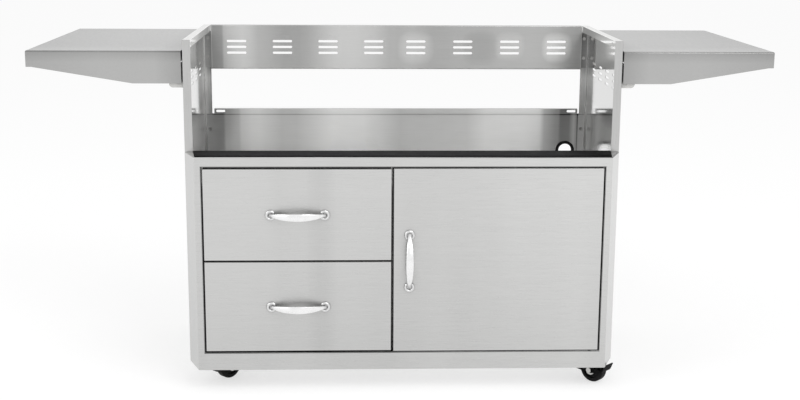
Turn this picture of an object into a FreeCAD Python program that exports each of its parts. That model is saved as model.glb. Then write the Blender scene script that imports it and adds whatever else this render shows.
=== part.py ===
import FreeCAD, Part
import math
import os
from collections import namedtuple

import Sketcher
from FreeCAD import Placement, Rotation, Vector

# Grill cart with storage: a sheet steel cabinet on four swivel casters, with an open bay for a
# built-in grill head, two drawers, a door with room for a gas tank and two shelves that fold down.
# Cabinet coordinates: X to the right, Y from the face to the back, Z up from the frame's bottom edge.
# The part's own origin is under the middle of its box, on the floor that the wheels stand on.

# Driving dimensions in millimetres: name, size, meaning
DRIVING = (
    ("body_width", 1030, "outer width of the cabinet"),
    ("body_depth", 530, "face to back of the cabinet"),
    ("frame_height", 515, "height of the lower cabinet"),
    ("bay_height", 263, "height of the grill bay above the lower cabinet"),
    ("ground_clearance", 54, "floor to the cabinet's bottom edge"),
    ("chamfer_width", 29, "front corner chamfer, measured across"),
    ("chamfer_depth", 73, "front corner chamfer, measured front to back"),
    ("sheet", 1.2, "thickness of the cabinet sheet"),
    ("bend", 2.5, "outer radius of a folded edge"),
    ("small_bend", 1, "outer radius of a tight fold"),
    ("flange", 19.5, "width of the side panels' folded flanges"),
    ("lip", 17, "height of the lip that hangs from the top flange"),
    ("lip_hole_radius", 2.5, "fixing hole in the lip"),
    ("lip_hole_inset", 34, "fixing hole from the lip's front end"),
    ("frame_return", 15, "width of the face frame's rear folds"),
    ("stile", 44.5, "cabinet's side to the opening for the drawers and the door"),
    ("top_rail", 24, "opening below the frame's top edge"),
    ("opening_bottom", 43, "opening above the frame's bottom edge"),
    ("opening_return", 24, "depth of the fold round the opening"),
    ("front_gap", 3, "gap beside and between the fronts"),
    ("drawer_end_gap", 3.5, "gap above and below the drawers"),
    ("door_top_gap", 2.5, "gap above the door"),
    ("door_bottom_gap", 1.5, "gap below the door"),
    ("centre_gap", 5, "gap between the drawers and the door"),
    ("centre_shift", 26.5, "middle gap to the left of the cabinet's middle"),
    ("front_depth", 20, "depth of a drawer or door front"),
    ("front_hem", 12, "fold round the back of a drawer or door front"),
    ("strip_height", 3, "thickness of the heat strip"),
    ("strip_inset", 2, "heat strip back from the edges"),
    ("band_height", 116.5, "height of the vented band"),
    ("back_setback", 13, "front of the back panels ahead of the cabinet's back"),
    ("panel_gap", 1, "gap between the back panels and the side flanges"),
    ("tab", 16, "width of the back panels' fixing tabs"),
    ("tab_inset", 3, "fixing tabs back from the panel's ends"),
    ("lower_panel_rise", 40, "top of the lower back panel above the lower cabinet"),
    ("hem_height", 13, "height of the lower back panel's top hem"),
    ("hem_notch", 5.5, "relief notch beside the hem"),
    ("hem_slot_inset", 17, "hem slot from the end of the hem"),
    ("hem_slot_length", 24, "slot in the hem"),
    ("hem_slot_width", 6.5, "slot in the hem"),
    ("vent_length", 51.5, "vent slot"),
    ("vent_width", 6, "vent slot"),
    ("vent_row_pitch", 15.4, "distance between the rows of vent slots"),
    ("band_vent_inset", 88.7, "middle of the end groups of the band's slots from the cabinet's side"),
    ("band_vent_left", 62.4, "middle of the left row's inner group from the cabinet's middle"),
    ("band_vent_right", 49.9, "middle of the right row's inner group from the cabinet's middle"),
    ("band_vent_drop", 58, "middle row of the band's slots below the top"),
    ("side_vent_length", 42, "vent slot in a side panel"),
    ("side_vent_inset", 89.25, "middle of a side panel's end groups from its front and the back panels"),
    ("side_vent_drop", 107, "middle row of a side panel's slots below the top"),
    ("grommet_inset", 57, "hose grommet from the cabinet's right side"),
    ("grommet_drop", 113, "hose grommet below the top of the lower back panel"),
    ("grommet_bore_radius", 17.7, "bore that the gas hose goes through"),
    ("grommet_hole_radius", 20.8, "hole in the panel for the grommet"),
    ("grommet_radius", 25.5, "outside of the grommet"),
    ("grommet_flange", 3, "thickness of each side of the grommet"),
    ("floor_flange", 20, "height of the floor pan's folded edge"),
    ("floor_gap", 0.3, "floor pan's edges from the panels"),
    ("divider_flange", 20, "width of the divider's folded edges"),
    ("wall_level", 200, "level part of the inner walls' tops, from the face"),
    ("wall_fall", 66, "fall of the inner walls' tops from there to the back"),
    ("bumper_gap", 1, "divider's front fold behind the door liner"),
    ("liner_front", 3, "drawer liner's front edge behind the face"),
    ("liner_flange", 17, "width of the drawer liner's folded edges"),
    ("slide_space", 12.7, "room beside a drawer for its slide"),
    ("slide_height", 45, "height of a drawer slide"),
    ("slide_back_gap", 41, "rear end of a drawer slide ahead of the back panel"),
    ("slide_start", 26, "front end of a drawer slide behind the face"),
    ("slide_play", 0.5, "gap between the members of a slide, above and below"),
    ("slide_web_gap", 0.8, "gap between the members of a slide, sideways"),
    ("slide_tail", 2.5, "outer members' lips short of the drawer"),
    ("slide_above_floor", 60, "middle of the slide above the drawer's floor"),
    ("tub_height", 150, "height of a drawer's tub"),
    ("tub_back_gap", 51, "drawer's tub ahead of the back panel"),
    ("tub_lift", 15, "tub's floor above the bottom of the drawer's front"),
    ("tub_sheet", 1, "thickness of a drawer's tub"),
    ("tub_corner", 4, "corner radius of a drawer's tub"),
    ("tub_rim", 6, "width of the folded rim round a drawer's tub"),
    ("handle_centres", 126, "distance between the handle's bosses"),
    ("handle_standoff", 33, "handle's outermost point in front of the panel"),
    ("boss_radius", 12.5, "handle boss"),
    ("boss_height", 5, "handle boss"),
    ("boss_recess_radius", 5.6, "recess in the handle boss"),
    ("boss_base", 1.6, "floor of the recess in the handle boss"),
    ("boss_chord", 8.5, "boss cut off square inside its centre"),
    ("grip_width", 17, "width of the grip at the middle"),
    ("grip_tip_width", 4.6, "width of the grip at its ends"),
    ("grip_thickness", 6.4, "thickness of the grip at the middle"),
    ("grip_tip_thickness", 3, "thickness of the grip at its ends"),
    ("grip_overrun", 4, "grip's tip past the boss's centre"),
    ("door_handle_inset", 37.5, "door handle from the door's left edge"),
    ("pivot_inset", 20, "door pivot from the door's right edge"),
    ("pivot_depth", 8.5, "door pivot behind the face"),
    ("pin_radius", 4, "door pivot pins"),
    ("pin_flange_radius", 9, "foot of a door pivot pin"),
    ("pin_flange", 1, "thickness of a door pivot pin's foot"),
    ("bush_radius", 7, "outside of a door bush"),
    ("bush_length", 12.5, "length of a door bush"),
    ("running_gap", 0.05, "radial clearance of a pin in its bore"),
    ("door_liner_inset", 10, "door liner in from the door's edges"),
    ("catch_height", 40, "door catch"),
    ("catch_depth", 15, "door catch"),
    ("catch_width", 36, "door catch"),
    ("catch_drop", 60, "door catch below the top of the opening"),
    ("strike_height", 36, "strike plate on the door"),
    ("strike_width", 14, "strike plate on the door"),
    ("strike_gap", 0.3, "strike plate from the catch"),
    ("tank_ring_radius", 106, "inside of the ring that holds the tank's foot"),
    ("tank_ring_height", 28, "height of the tank ring"),
    ("tank_ring_wall", 1.5, "thickness of the tank ring"),
    ("tank_ring_foot", 14, "width of the tank ring's foot"),
    ("shelf_length", 358, "side shelf, from its hinge end outwards"),
    ("shelf_depth", 625, "side shelf, front to back"),
    ("shelf_drop", 25.5, "shelf top below the top of the bay"),
    ("shelf_gap", 3, "gap between a shelf and the cabinet"),
    ("shelf_inner_height", 76, "shelf skirt at the hinge end"),
    ("shelf_outer_height", 38, "shelf skirt at the outer end"),
    ("shelf_level", 113, "level part of the skirt's lower edge"),
    ("shelf_toe", 13, "level part of the skirt at the outer end"),
    ("shelf_hem", 25, "shelf's fold at the hinge end"),
    ("shelf_round", 4, "rounding of a shelf's edges"),
    ("shelf_pivot_out", 20, "shelf pivot outside the cabinet"),
    ("shelf_pivot_up", 9, "shelf pivot above the skirt's lower edge"),
    ("plate", 2.5, "thickness of the brackets and arms"),
    ("bracket_reach", 33, "shelf bracket outside the cabinet"),
    ("bracket_below", 11, "shelf bracket below the skirt"),
    ("bracket_height", 61, "height of a shelf bracket"),
    ("bracket_leaf", 40, "width of the bracket's leaf on the cabinet"),
    ("bracket_round", 9, "corner of a shelf bracket"),
    ("bracket_front", 12, "front shelf bracket behind the shelf's front edge"),
    ("bracket_back", 12, "back shelf bracket ahead of the cabinet's back"),
    ("arm_length", 120, "length of a shelf arm"),
    ("arm_boss", 12, "radius of a shelf arm round its pivot"),
    ("arm_foot", 20, "width of a shelf arm's fold under the shelf"),
    ("arm_gap", 0.5, "gap between a shelf arm and its bracket"),
    ("bolt_radius", 4, "shelf pivot bolts and caster bolts"),
    ("bolt_head_radius", 7, "bolt heads and nuts, across the corners by two"),
    ("bolt_head", 4, "height of bolt heads and nuts"),
    ("bolt_play", 0.2, "radial clearance of a caster bolt in its holes"),
    ("screw_radius", 2.5, "panel screws"),
    ("screw_head_radius", 4.8, "panel screw heads"),
    ("screw_head", 2.4, "height of a panel screw's head"),
    ("screw_play", 0.15, "radial clearance of a panel screw in its hole"),
    ("screw_inset", 7, "panel screws from the side flange's inner edge"),
    ("screw_margin", 57, "end screws from the lower back panel's top and bottom"),
    ("caster_inset", 67, "casters' swivel axes from the cabinet's sides"),
    ("caster_setback", 82, "casters' swivel axes from the face and from the back"),
    ("caster_relief", 14, "height of the cut in the front flanges that the wheels swing through"),
    ("caster_trail", 32, "axle behind the swivel axis"),
    ("wheel_radius", 32, "caster wheel"),
    ("wheel_width", 22, "caster wheel's tread"),
    ("wheel_round", 4.5, "rounding of the tread's edges"),
    ("wheel_hub_radius", 10, "caster wheel's hub"),
    ("wheel_rim_radius", 22.5, "inside of the tyre"),
    ("wheel_web", 14, "thickness of the wheel between hub and tyre"),
    ("hub_play", 0.4, "wheel hub from each fork leg"),
    ("leg_inside", 13.8, "fork leg's inner face from the wheel's middle"),
    ("leg_sheet", 2.5, "thickness of the fork"),
    ("crown_underside", 75, "underside of the fork's crown above the ground"),
    ("crown_radius", 26, "fork's crown"),
    ("race_radius", 22, "swivel race under the caster's plate"),
    ("race_gap", 0.3, "swivel race from the fork"),
    ("kingpin_radius", 5, "caster's kingpin"),
    ("kingpin_head_radius", 9, "riveted end of the kingpin"),
    ("kingpin_head", 3, "riveted end of the kingpin"),
    ("axle_radius", 4, "caster axle"),
    ("axle_head_radius", 6.5, "caster axle's head and nut"),
    ("axle_head", 4, "caster axle's head and nut"),
    ("leg_end_radius", 12.5, "round end of a fork leg, about the axle"),
    ("plate_width", 92, "caster plate, across the cabinet"),
    ("plate_depth", 60, "caster plate, front to back"),
    ("plate_corner", 6, "corner of a caster plate"),
    ("plate_bolt_x", 76, "caster plate's bolt spacing across the cabinet"),
    ("plate_bolt_y", 44, "caster plate's bolt spacing front to back"),
    ("lever_sheet", 2, "thickness of the brake lever's arms"),
    ("lever_gap", 0.3, "brake lever from the fork and the axle's head"),
    ("lever_half_width", 8.25, "half the height of the brake lever's arms at the axle"),
    ("lever_reach", 44, "brake pedal's end from the axle"),
    ("lever_rise", 15, "rise of the brake pedal to its end"),
    ("lever_release", 54, "release tab's end from the axle"),
    ("lever_clear", 3, "brake lever's cross pieces from the tyre"),
)
BAND_VENT_GROUPS = 4
SIDE_VENT_GROUPS = 4
VENT_ROWS = (-1, 0, 1)
BAND_SCREW_DROPS = (35, 87)
CASTER_HEADINGS = {
    "front_left": 46,
    "front_right": -44,
    "rear_left": 118,
    "rear_right": 64,
}
LEG_SHOULDER = (0.89, 0.45)
LEG_HEEL = 0.7
GRIP_STEPS = (-1, -0.8, -0.45, 0, 0.45, 0.8, 1)
TOLERANCE = 0.02

Circle = namedtuple("Circle", "x y radius")
Slot = namedtuple("Slot", "x y length width")


class Size:
    """A length that keeps its number and the spreadsheet formula that it comes from."""

    def __init__(self, number, formula):
        self.number = number
        self.formula = formula

    def __add__(self, other):
        other = as_size(other)
        return Size(self.number + other.number, f"({self.formula} + {other.formula})")

    def __radd__(self, other):
        return as_size(other) + self

    def __sub__(self, other):
        other = as_size(other)
        return Size(self.number - other.number, f"({self.formula} - {other.formula})")

    def __rsub__(self, other):
        return as_size(other) - self

    def __mul__(self, other):
        other = as_size(other)
        return Size(self.number * other.number, f"({self.formula} * {other.formula})")

    def __rmul__(self, other):
        return as_size(other) * self

    def __truediv__(self, other):
        other = as_size(other)
        return Size(self.number / other.number, f"({self.formula} / {other.formula})")

    def __neg__(self):
        return Size(-self.number, f"(0 - {self.formula})")


def as_size(value):
    """A plain number becomes a Size whose formula is that number."""
    if isinstance(value, Size):
        return value
    number = float(value)
    return Size(number, f"({number})" if number < 0 else f"{number}")


def root(size):
    """The square root of a Size."""
    return Size(math.sqrt(size.number), f"sqrt({size.formula})")


class Sizes:
    """The spreadsheet's cells by name, each as a Size."""

    def __init__(self, doc):
        sheet = doc.addObject("Spreadsheet::Sheet", "Sizes")
        for row, (name, value, meaning) in enumerate(DRIVING, start=1):
            sheet.set(f"A{row}", name)
            sheet.set(f"B{row}", str(value))
            sheet.set(f"C{row}", meaning)
            sheet.setAlias(f"B{row}", name)
        doc.recompute()
        for name, _, _ in DRIVING:
            setattr(self, name, Size(float(sheet.get(name)), f"Sizes.{name}"))
        self.derive()

    def derive(self):
        """Places that several pieces share, worked out from the driving dimensions."""
        self.half_width = self.body_width / 2
        self.top = self.frame_height + self.bay_height
        self.wall_inside = self.half_width - self.sheet
        self.flange_inside = self.half_width - self.flange
        self.back_front = self.body_depth - self.back_setback
        self.opening_half = self.half_width - self.stile
        self.opening_top = self.frame_height - self.top_rail
        self.opening_height = self.opening_top - self.opening_bottom
        self.lower_panel_top = self.frame_height + self.lower_panel_rise
        self.grommet_x = self.half_width - self.grommet_inset
        self.grommet_z = self.lower_panel_top - self.grommet_drop
        self.gap_left = -self.centre_shift - self.centre_gap / 2
        self.gap_right = -self.centre_shift + self.centre_gap / 2
        self.floor_top = self.opening_bottom - self.sheet
        self.floor_underside = self.floor_top - self.sheet
        self.divider_left = -self.centre_shift - self.sheet / 2
        self.divider_right = -self.centre_shift + self.sheet / 2
        self.divider_front = self.front_depth + self.sheet + self.bumper_gap
        self.tank_x = (self.divider_right + self.wall_inside) / 2
        self.tank_y = self.back_front / 2
        self.liner_inside = -self.opening_half - self.sheet
        self.cavity_middle = (self.liner_inside + self.divider_left) / 2
        self.tub_half = (self.divider_left - self.liner_inside) / 2 - self.slide_space
        self.drawer_front_left = -self.opening_half + self.front_gap
        self.drawer_height = (self.opening_height - self.front_gap) / 2 - self.drawer_end_gap
        self.door_right = self.opening_half - self.front_gap
        self.door_bottom = self.opening_bottom + self.door_bottom_gap
        self.door_top = self.opening_top - self.door_top_gap
        self.pivot_x = self.door_right - self.pivot_inset
        self.shelf_top = self.top - self.shelf_drop
        self.shelf_bottom = self.shelf_top - self.shelf_inner_height
        self.shelf_inner = self.half_width + self.shelf_gap
        self.shelf_outer = self.shelf_inner + self.shelf_length
        self.shelf_pivot_x = self.half_width + self.shelf_pivot_out
        self.shelf_pivot_z = self.shelf_bottom + self.shelf_pivot_up
        self.shelf_back = self.chamfer_depth + self.shelf_depth
        self.face_y = (self.handle_standoff - self.shelf_back) / 2
        self.caster_x = self.half_width - self.caster_inset
        self.plate_top = self.ground_clearance + self.floor_underside
        self.crown_top = self.crown_underside + self.leg_sheet
        self.leg_outside = self.leg_inside + self.leg_sheet
        self.lever_outside = self.leg_outside + self.lever_gap + self.lever_sheet


# Sketches and features

def bind(obj, path, size):
    """Ties a property to a Size's formula."""
    obj.setExpression(path, as_size(size).formula)


def new_body(doc, label):
    """An empty body whose label names the piece."""
    body = doc.addObject("PartDesign::Body", label)
    body.Label = label
    return body


def origin_feature(body, role):
    """One of the body's own origin planes or axes."""
    return next(item for item in body.Origin.OriginFeatures if item.Role == role)


def new_sketch(body, name, plane, offset):
    """An empty sketch on one of the body's origin planes, moved along its normal."""
    sketch = body.newObject("Sketcher::SketchObject", name)
    sketch.AttachmentSupport = [(origin_feature(body, f"{plane}_Plane"), "")]
    sketch.MapMode = "FlatFace"
    bind(sketch, "AttachmentOffset.Base.z", offset)
    return sketch


def pin_point(sketch, geometry, position, x, y):
    """Ties a point's distances from the sketch's origin to their formulas."""
    for kind, size in (("DistanceX", as_size(x)), ("DistanceY", as_size(y))):
        constraint = Sketcher.Constraint(kind, -1, 1, geometry, position, size.number)
        index = sketch.addConstraint(constraint)
        sketch.setExpression(f"Constraints[{index}]", size.formula)


def pin_radius(sketch, geometry, radius):
    """Ties a circle's or an arc's radius to its formula."""
    radius = as_size(radius)
    index = sketch.addConstraint(Sketcher.Constraint("Radius", geometry, radius.number))
    sketch.setExpression(f"Constraints[{index}]", radius.formula)


def point(x, y):
    """A sketch point from two sizes."""
    return Vector(as_size(x).number, as_size(y).number, 0)


def draw_outline(sketch, corners):
    """A closed outline of straight lines, each corner tied to its formulas."""
    first = sketch.GeometryCount
    count = len(corners)
    ends = [point(x, y) for x, y in corners]
    for i in range(count):
        sketch.addGeometry(Part.LineSegment(ends[i], ends[(i + 1) % count]), False)
    for i in range(count):
        after = first + (i + 1) % count
        sketch.addConstraint(Sketcher.Constraint("Coincident", first + i, 2, after, 1))
    for i, (x, y) in enumerate(corners):
        pin_point(sketch, first + i, 1, x, y)


def draw_circle(sketch, circle):
    """A circle with its centre and radius tied to their formulas."""
    centre = point(circle.x, circle.y)
    radius = as_size(circle.radius)
    index = sketch.addGeometry(Part.Circle(centre, Vector(0, 0, 1), radius.number), False)
    pin_point(sketch, index, 3, circle.x, circle.y)
    pin_radius(sketch, index, radius)


def draw_slot(sketch, slot):
    """A slot with round ends that lies along the sketch's X."""
    radius = as_size(slot.width) / 2
    reach = as_size(slot.length) / 2 - radius
    left = point(slot.x - reach, slot.y)
    right = point(slot.x + reach, slot.y)
    up = Vector(0, radius.number, 0)
    normal = Vector(0, 0, 1)
    quarter = math.pi / 2
    left_arc = Part.ArcOfCircle(Part.Circle(left, normal, radius.number), quarter, 3 * quarter)
    right_arc = Part.ArcOfCircle(Part.Circle(right, normal, radius.number), -quarter, quarter)
    top = Part.LineSegment(left + up, right + up)
    bottom = Part.LineSegment(left - up, right - up)
    a, b, c, d = [sketch.addGeometry(item, False) for item in (left_arc, right_arc, top, bottom)]
    for arc, arc_end, line, line_end in ((a, 1, c, 1), (a, 2, d, 1), (b, 2, c, 2), (b, 1, d, 2)):
        sketch.addConstraint(Sketcher.Constraint("Tangent", arc, arc_end, line, line_end))
    sketch.addConstraint(Sketcher.Constraint("Equal", a, b))
    pin_point(sketch, a, 3, slot.x - reach, slot.y)
    pin_point(sketch, b, 3, slot.x + reach, slot.y)
    pin_radius(sketch, a, radius)


def draw(sketch, shapes):
    """Adds circles, slots and outlines to a sketch."""
    for shape in shapes:
        if isinstance(shape, Circle):
            draw_circle(sketch, shape)
        elif isinstance(shape, Slot):
            draw_slot(sketch, shape)
        else:
            draw_outline(sketch, shape)


def rect(left, right, bottom, top):
    """The corners of a rectangle."""
    return [(left, bottom), (right, bottom), (right, top), (left, top)]


def pad(body, name, plane, shapes, low, high):
    """Adds the shapes, extruded between two places along the plane's world axis."""
    low, high = as_size(low), as_size(high)
    sketch = new_sketch(body, f"{name}_sketch", plane, -high if plane == "XZ" else low)
    draw(sketch, shapes)
    feature = body.newObject("PartDesign::Pad", name)
    feature.Profile = sketch
    bind(feature, "Length", high - low)
    return feature


def pocket(body, name, plane, shapes, low, high):
    """Cuts the shapes out between two places along the plane's world axis."""
    low, high = as_size(low), as_size(high)
    sketch = new_sketch(body, f"{name}_sketch", plane, -low if plane == "XZ" else high)
    draw(sketch, shapes)
    feature = body.newObject("PartDesign::Pocket", name)
    feature.Profile = sketch
    bind(feature, "Length", high - low)
    return feature


def revolve(body, name, corners):
    """Turns an outline, drawn as radius and height, about the body's own Y axis."""
    sketch = new_sketch(body, f"{name}_sketch", "XY", 0)
    draw_outline(sketch, corners)
    feature = body.newObject("PartDesign::Revolution", name)
    feature.Profile = sketch
    feature.ReferenceAxis = (sketch, ["V_Axis"])
    feature.Angle = 360
    return feature


def row_of(body, name, original, axis, length, count):
    """Repeats a feature in a straight row."""
    feature = body.newObject("PartDesign::LinearPattern", name)
    feature.Originals = [original]
    feature.Direction = (origin_feature(body, f"{axis}_Axis"), [""])
    bind(feature, "Length", length)
    feature.Occurrences = count
    body.Tip = feature
    return feature


def lies_at(shape, **places):
    """True where every corner of an edge or face lies at the given x, y or z."""
    return all(
        abs(getattr(vertex, axis.upper()) - as_size(place).number) < TOLERANCE
        for vertex in shape.Vertexes
        for axis, place in places.items()
    )


def dress(body, kind, name, elements, wanted, what):
    """Adds a dress-up feature on those edges or faces of the body's tip that the test picks."""
    base = body.Tip
    body.Document.recompute()
    found = [f"{what}{i}" for i, item in enumerate(elements(base.Shape), start=1) if wanted(item)]
    if not found:
        raise RuntimeError(f"{body.Label}: nothing to work on for {name}")
    feature = body.newObject(kind, name)
    feature.Base = (base, found)
    return feature


def round_edges(body, name, radius, wanted):
    """Rounds the edges that the test picks."""
    feature = dress(body, "PartDesign::Fillet", name, lambda s: s.Edges, wanted, "Edge")
    bind(feature, "Radius", radius)
    return feature


def shell(body, name, wall, is_open):
    """Hollows the body to a wall, open at the faces that the test picks."""
    feature = dress(body, "PartDesign::Thickness", name, lambda s: s.Faces, is_open, "Face")
    bind(feature, "Value", wall)
    feature.Reversed = True
    feature.Mode = 0
    feature.Join = 0
    return feature


def place(obj, x, y, z, rotation=None):
    """Gives an object its place, with each coordinate tied to its formula."""
    if rotation is not None:
        obj.Placement = Placement(Vector(0, 0, 0), rotation)
    for axis, size in zip("xyz", (x, y, z)):
        bind(obj, f"Placement.Base.{axis}", size)
    return obj


def on_cabinet(s, obj):
    """Places a piece that is drawn in cabinet coordinates."""
    return place(obj, 0, s.face_y, s.ground_clearance)


def mirrored(doc, label, source, x=0):
    """The piece's mirror image across an upright plane that runs front to back."""
    image = doc.addObject("Part::Mirroring", label)
    image.Label = label
    image.Source = source
    image.Normal = Vector(1, 0, 0)
    bind(image, "Base.x", x)
    return image


def group(doc, label, pieces):
    """Separate solids that share one node."""
    compound = doc.addObject("Part::Compound", label)
    compound.Label = label
    compound.Links = pieces
    return compound


# Cabinet

def face_frame(doc, s):
    """Front of the cabinet: a folded sheet with chamfered corners round one large opening."""
    body = new_body(doc, "face_frame")
    front = s.half_width - s.chamfer_width
    plan = [(-s.half_width, s.chamfer_depth), (-front, 0), (front, 0), (s.half_width, s.chamfer_depth)]
    pad(body, "frame_block", "XY", [plan], 0, s.frame_height)

    def folds(edge):
        corner = lies_at(edge, y=0) and (lies_at(edge, x=front) or lies_at(edge, x=-front))
        top = lies_at(edge, z=s.frame_height) and not lies_at(edge, y=s.chamfer_depth)
        return corner or top

    round_edges(body, "frame_folds", s.bend, folds)
    shell(body, "frame_sheet", s.sheet, lambda face: lies_at(face, z=0))
    window = s.half_width - s.frame_return
    deck_return = s.frame_height - s.frame_return
    back = s.chamfer_depth
    rear = rect(-window, window, -1, deck_return)
    pocket(body, "rear_window", "XZ", [rear], back - 2 * s.sheet, back + 1)
    relief = s.half_width - 2 * s.sheet
    cut = rect(-relief, relief, -1, s.caster_relief)
    pocket(body, "caster_relief", "XZ", [cut], back - 2 * s.sheet, back + 1)
    opening = rect(-s.opening_half, s.opening_half, s.opening_bottom, s.opening_top)
    pocket(body, "front_opening", "XZ", [opening], -1, 2 * s.sheet)
    outside = s.opening_half + s.sheet
    ring = rect(-outside, outside, s.floor_top, s.opening_top + s.sheet)
    pad(body, "opening_return", "XZ", [ring, opening], s.sheet / 2, s.opening_return)
    hem = rect(-s.opening_half, s.opening_half, s.sheet / 2, s.frame_return)
    pad(body, "bottom_hem", "XY", [hem], 0, s.sheet)

    def opening_edges(edge):
        across = lies_at(edge, x=s.opening_half) or lies_at(edge, x=-s.opening_half)
        along = lies_at(edge, z=s.opening_bottom) or lies_at(edge, z=s.opening_top)
        return lies_at(edge, y=0) and (across or along)

    round_edges(body, "opening_folds", s.small_bend, opening_edges)
    return on_cabinet(s, body)


def screw_places(s):
    """Heights of the screws that hold the vented band and the lower back panel at each end."""
    band = [s.top - drop for drop in BAND_SCREW_DROPS]
    top = s.lower_panel_top
    return band, [s.screw_margin, top / 2, top - s.screw_margin]


def side_panel(doc, s):
    """Right side of the cabinet and bay: a sheet folded in at the front, back and top."""
    body = new_body(doc, "right_side_panel")
    plan = rect(s.flange_inside, s.half_width, s.chamfer_depth, s.body_depth)
    pad(body, "side_block", "XY", [plan], 0, s.top)

    def folds(edge):
        upright = lies_at(edge, y=s.chamfer_depth) or lies_at(edge, y=s.body_depth)
        return lies_at(edge, x=s.half_width) and (upright or lies_at(edge, z=s.top))

    round_edges(body, "side_folds", s.bend, folds)

    def inner_or_foot(face):
        return lies_at(face, x=s.flange_inside) or lies_at(face, z=0)

    shell(body, "side_sheet", s.sheet, inner_or_foot)
    lip = rect(s.flange_inside, s.flange_inside + s.sheet, s.top - s.lip, s.top)
    ends = s.chamfer_depth + s.sheet / 2, s.body_depth - s.sheet / 2
    pad(body, "hanging_lip", "XZ", [lip], *ends)
    cut = rect(s.flange_inside - 1, s.half_width - s.bend, -1, s.caster_relief)
    pocket(body, "caster_relief", "XZ", [cut], s.chamfer_depth - 1, s.chamfer_depth + 2 * s.sheet)
    round_edges(body, "lip_fold", s.small_bend, lambda edge: lies_at(edge, x=s.flange_inside, z=s.top))
    first_group = s.chamfer_depth + s.side_vent_inset
    reach = s.back_front - s.side_vent_inset - first_group
    rows = [s.top - s.side_vent_drop + row * s.vent_row_pitch for row in VENT_ROWS]
    vents = [Slot(first_group, height, s.side_vent_length, s.vent_width) for height in rows]
    first = pocket(body, "side_vents", "YZ", vents, s.wall_inside - 1, s.half_width + 1)
    row_of(body, "side_vent_row", first, "Y", reach, SIDE_VENT_GROUPS)
    fixing = Circle(s.chamfer_depth + s.lip_hole_inset, s.top - s.lip / 2, s.lip_hole_radius)
    pocket(body, "lip_hole", "YZ", [fixing], s.flange_inside - 1, s.flange_inside + 2 * s.sheet)
    band, panel = screw_places(s)
    radius = s.screw_radius + s.screw_play
    holes = [Circle(s.flange_inside + s.screw_inset, height, radius) for height in band + panel]
    pocket(body, "screw_holes", "XZ", holes, s.body_depth - 2 * s.sheet, s.body_depth + 1)
    return on_cabinet(s, body)


def heat_strip(doc, s):
    """Black strip on the cabinet's front top rail, which the grill head's front rests over."""
    body = new_body(doc, "heat_strip")
    front = s.half_width - s.chamfer_width - s.strip_inset
    back = s.flange_inside - s.floor_gap
    plan = [(-back, s.chamfer_depth), (-front, s.bend), (front, s.bend), (back, s.chamfer_depth)]
    pad(body, "strip", "XY", [plan], s.frame_height, s.frame_height + s.strip_height)
    top = s.frame_height + s.strip_height
    round_edges(body, "strip_edges", s.small_bend, lambda edge: lies_at(edge, z=top))
    return on_cabinet(s, body)


def fixing_tabs(body, s, bottom, top, heights):
    """Tabs at both ends of a back panel, with holes for the screws into the side flanges."""
    end = s.flange_inside - s.panel_gap
    low = s.body_depth - 2 * s.sheet
    for side, name in ((-1, "left"), (1, "right")):
        outer = side * (end + s.tab)
        inner = side * (end - s.sheet / 2)
        left, right = (outer, inner) if side < 0 else (inner, outer)
        pad(body, f"{name}_tab", "XZ", [rect(left, right, bottom, top)], low, low + s.sheet)
        across = side * (s.flange_inside + s.screw_inset)
        holes = [Circle(across, height, s.screw_radius + s.screw_play) for height in heights]
        pocket(body, f"{name}_tab_holes", "XZ", holes, low - 1, low + s.sheet + 1)


def upper_back_band(doc, s):
    """Vented band across the top of the bay's back."""
    body = new_body(doc, "upper_back_band")
    end = s.flange_inside - s.panel_gap
    bottom = s.top - s.band_height
    pad(body, "band_block", "XY", [rect(-end, end, s.back_front, s.body_depth)], bottom, s.top)

    def folds(edge):
        return lies_at(edge, y=s.back_front) and not lies_at(edge, x=edge.Vertexes[0].X)

    round_edges(body, "band_folds", s.bend, folds)
    shell(body, "band_sheet", s.sheet, lambda face: lies_at(face, y=s.body_depth))
    heights = [s.top - s.band_vent_drop + row * s.vent_row_pitch for row in VENT_ROWS]
    outer = s.half_width - s.band_vent_inset
    for name, start, stop in (("left", -outer, -s.band_vent_left), ("right", s.band_vent_right, outer)):
        vents = [Slot(start, height, s.vent_length, s.vent_width) for height in heights]
        first = pocket(body, f"{name}_vents", "XZ", vents, s.back_front - 1, s.back_front + 2 * s.sheet)
        row_of(body, f"{name}_vent_row", first, "X", stop - start, BAND_VENT_GROUPS)
    band, _ = screw_places(s)
    fixing_tabs(body, s, bottom + s.tab_inset, s.top - s.lip - s.tab_inset, band)
    return on_cabinet(s, body)


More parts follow.
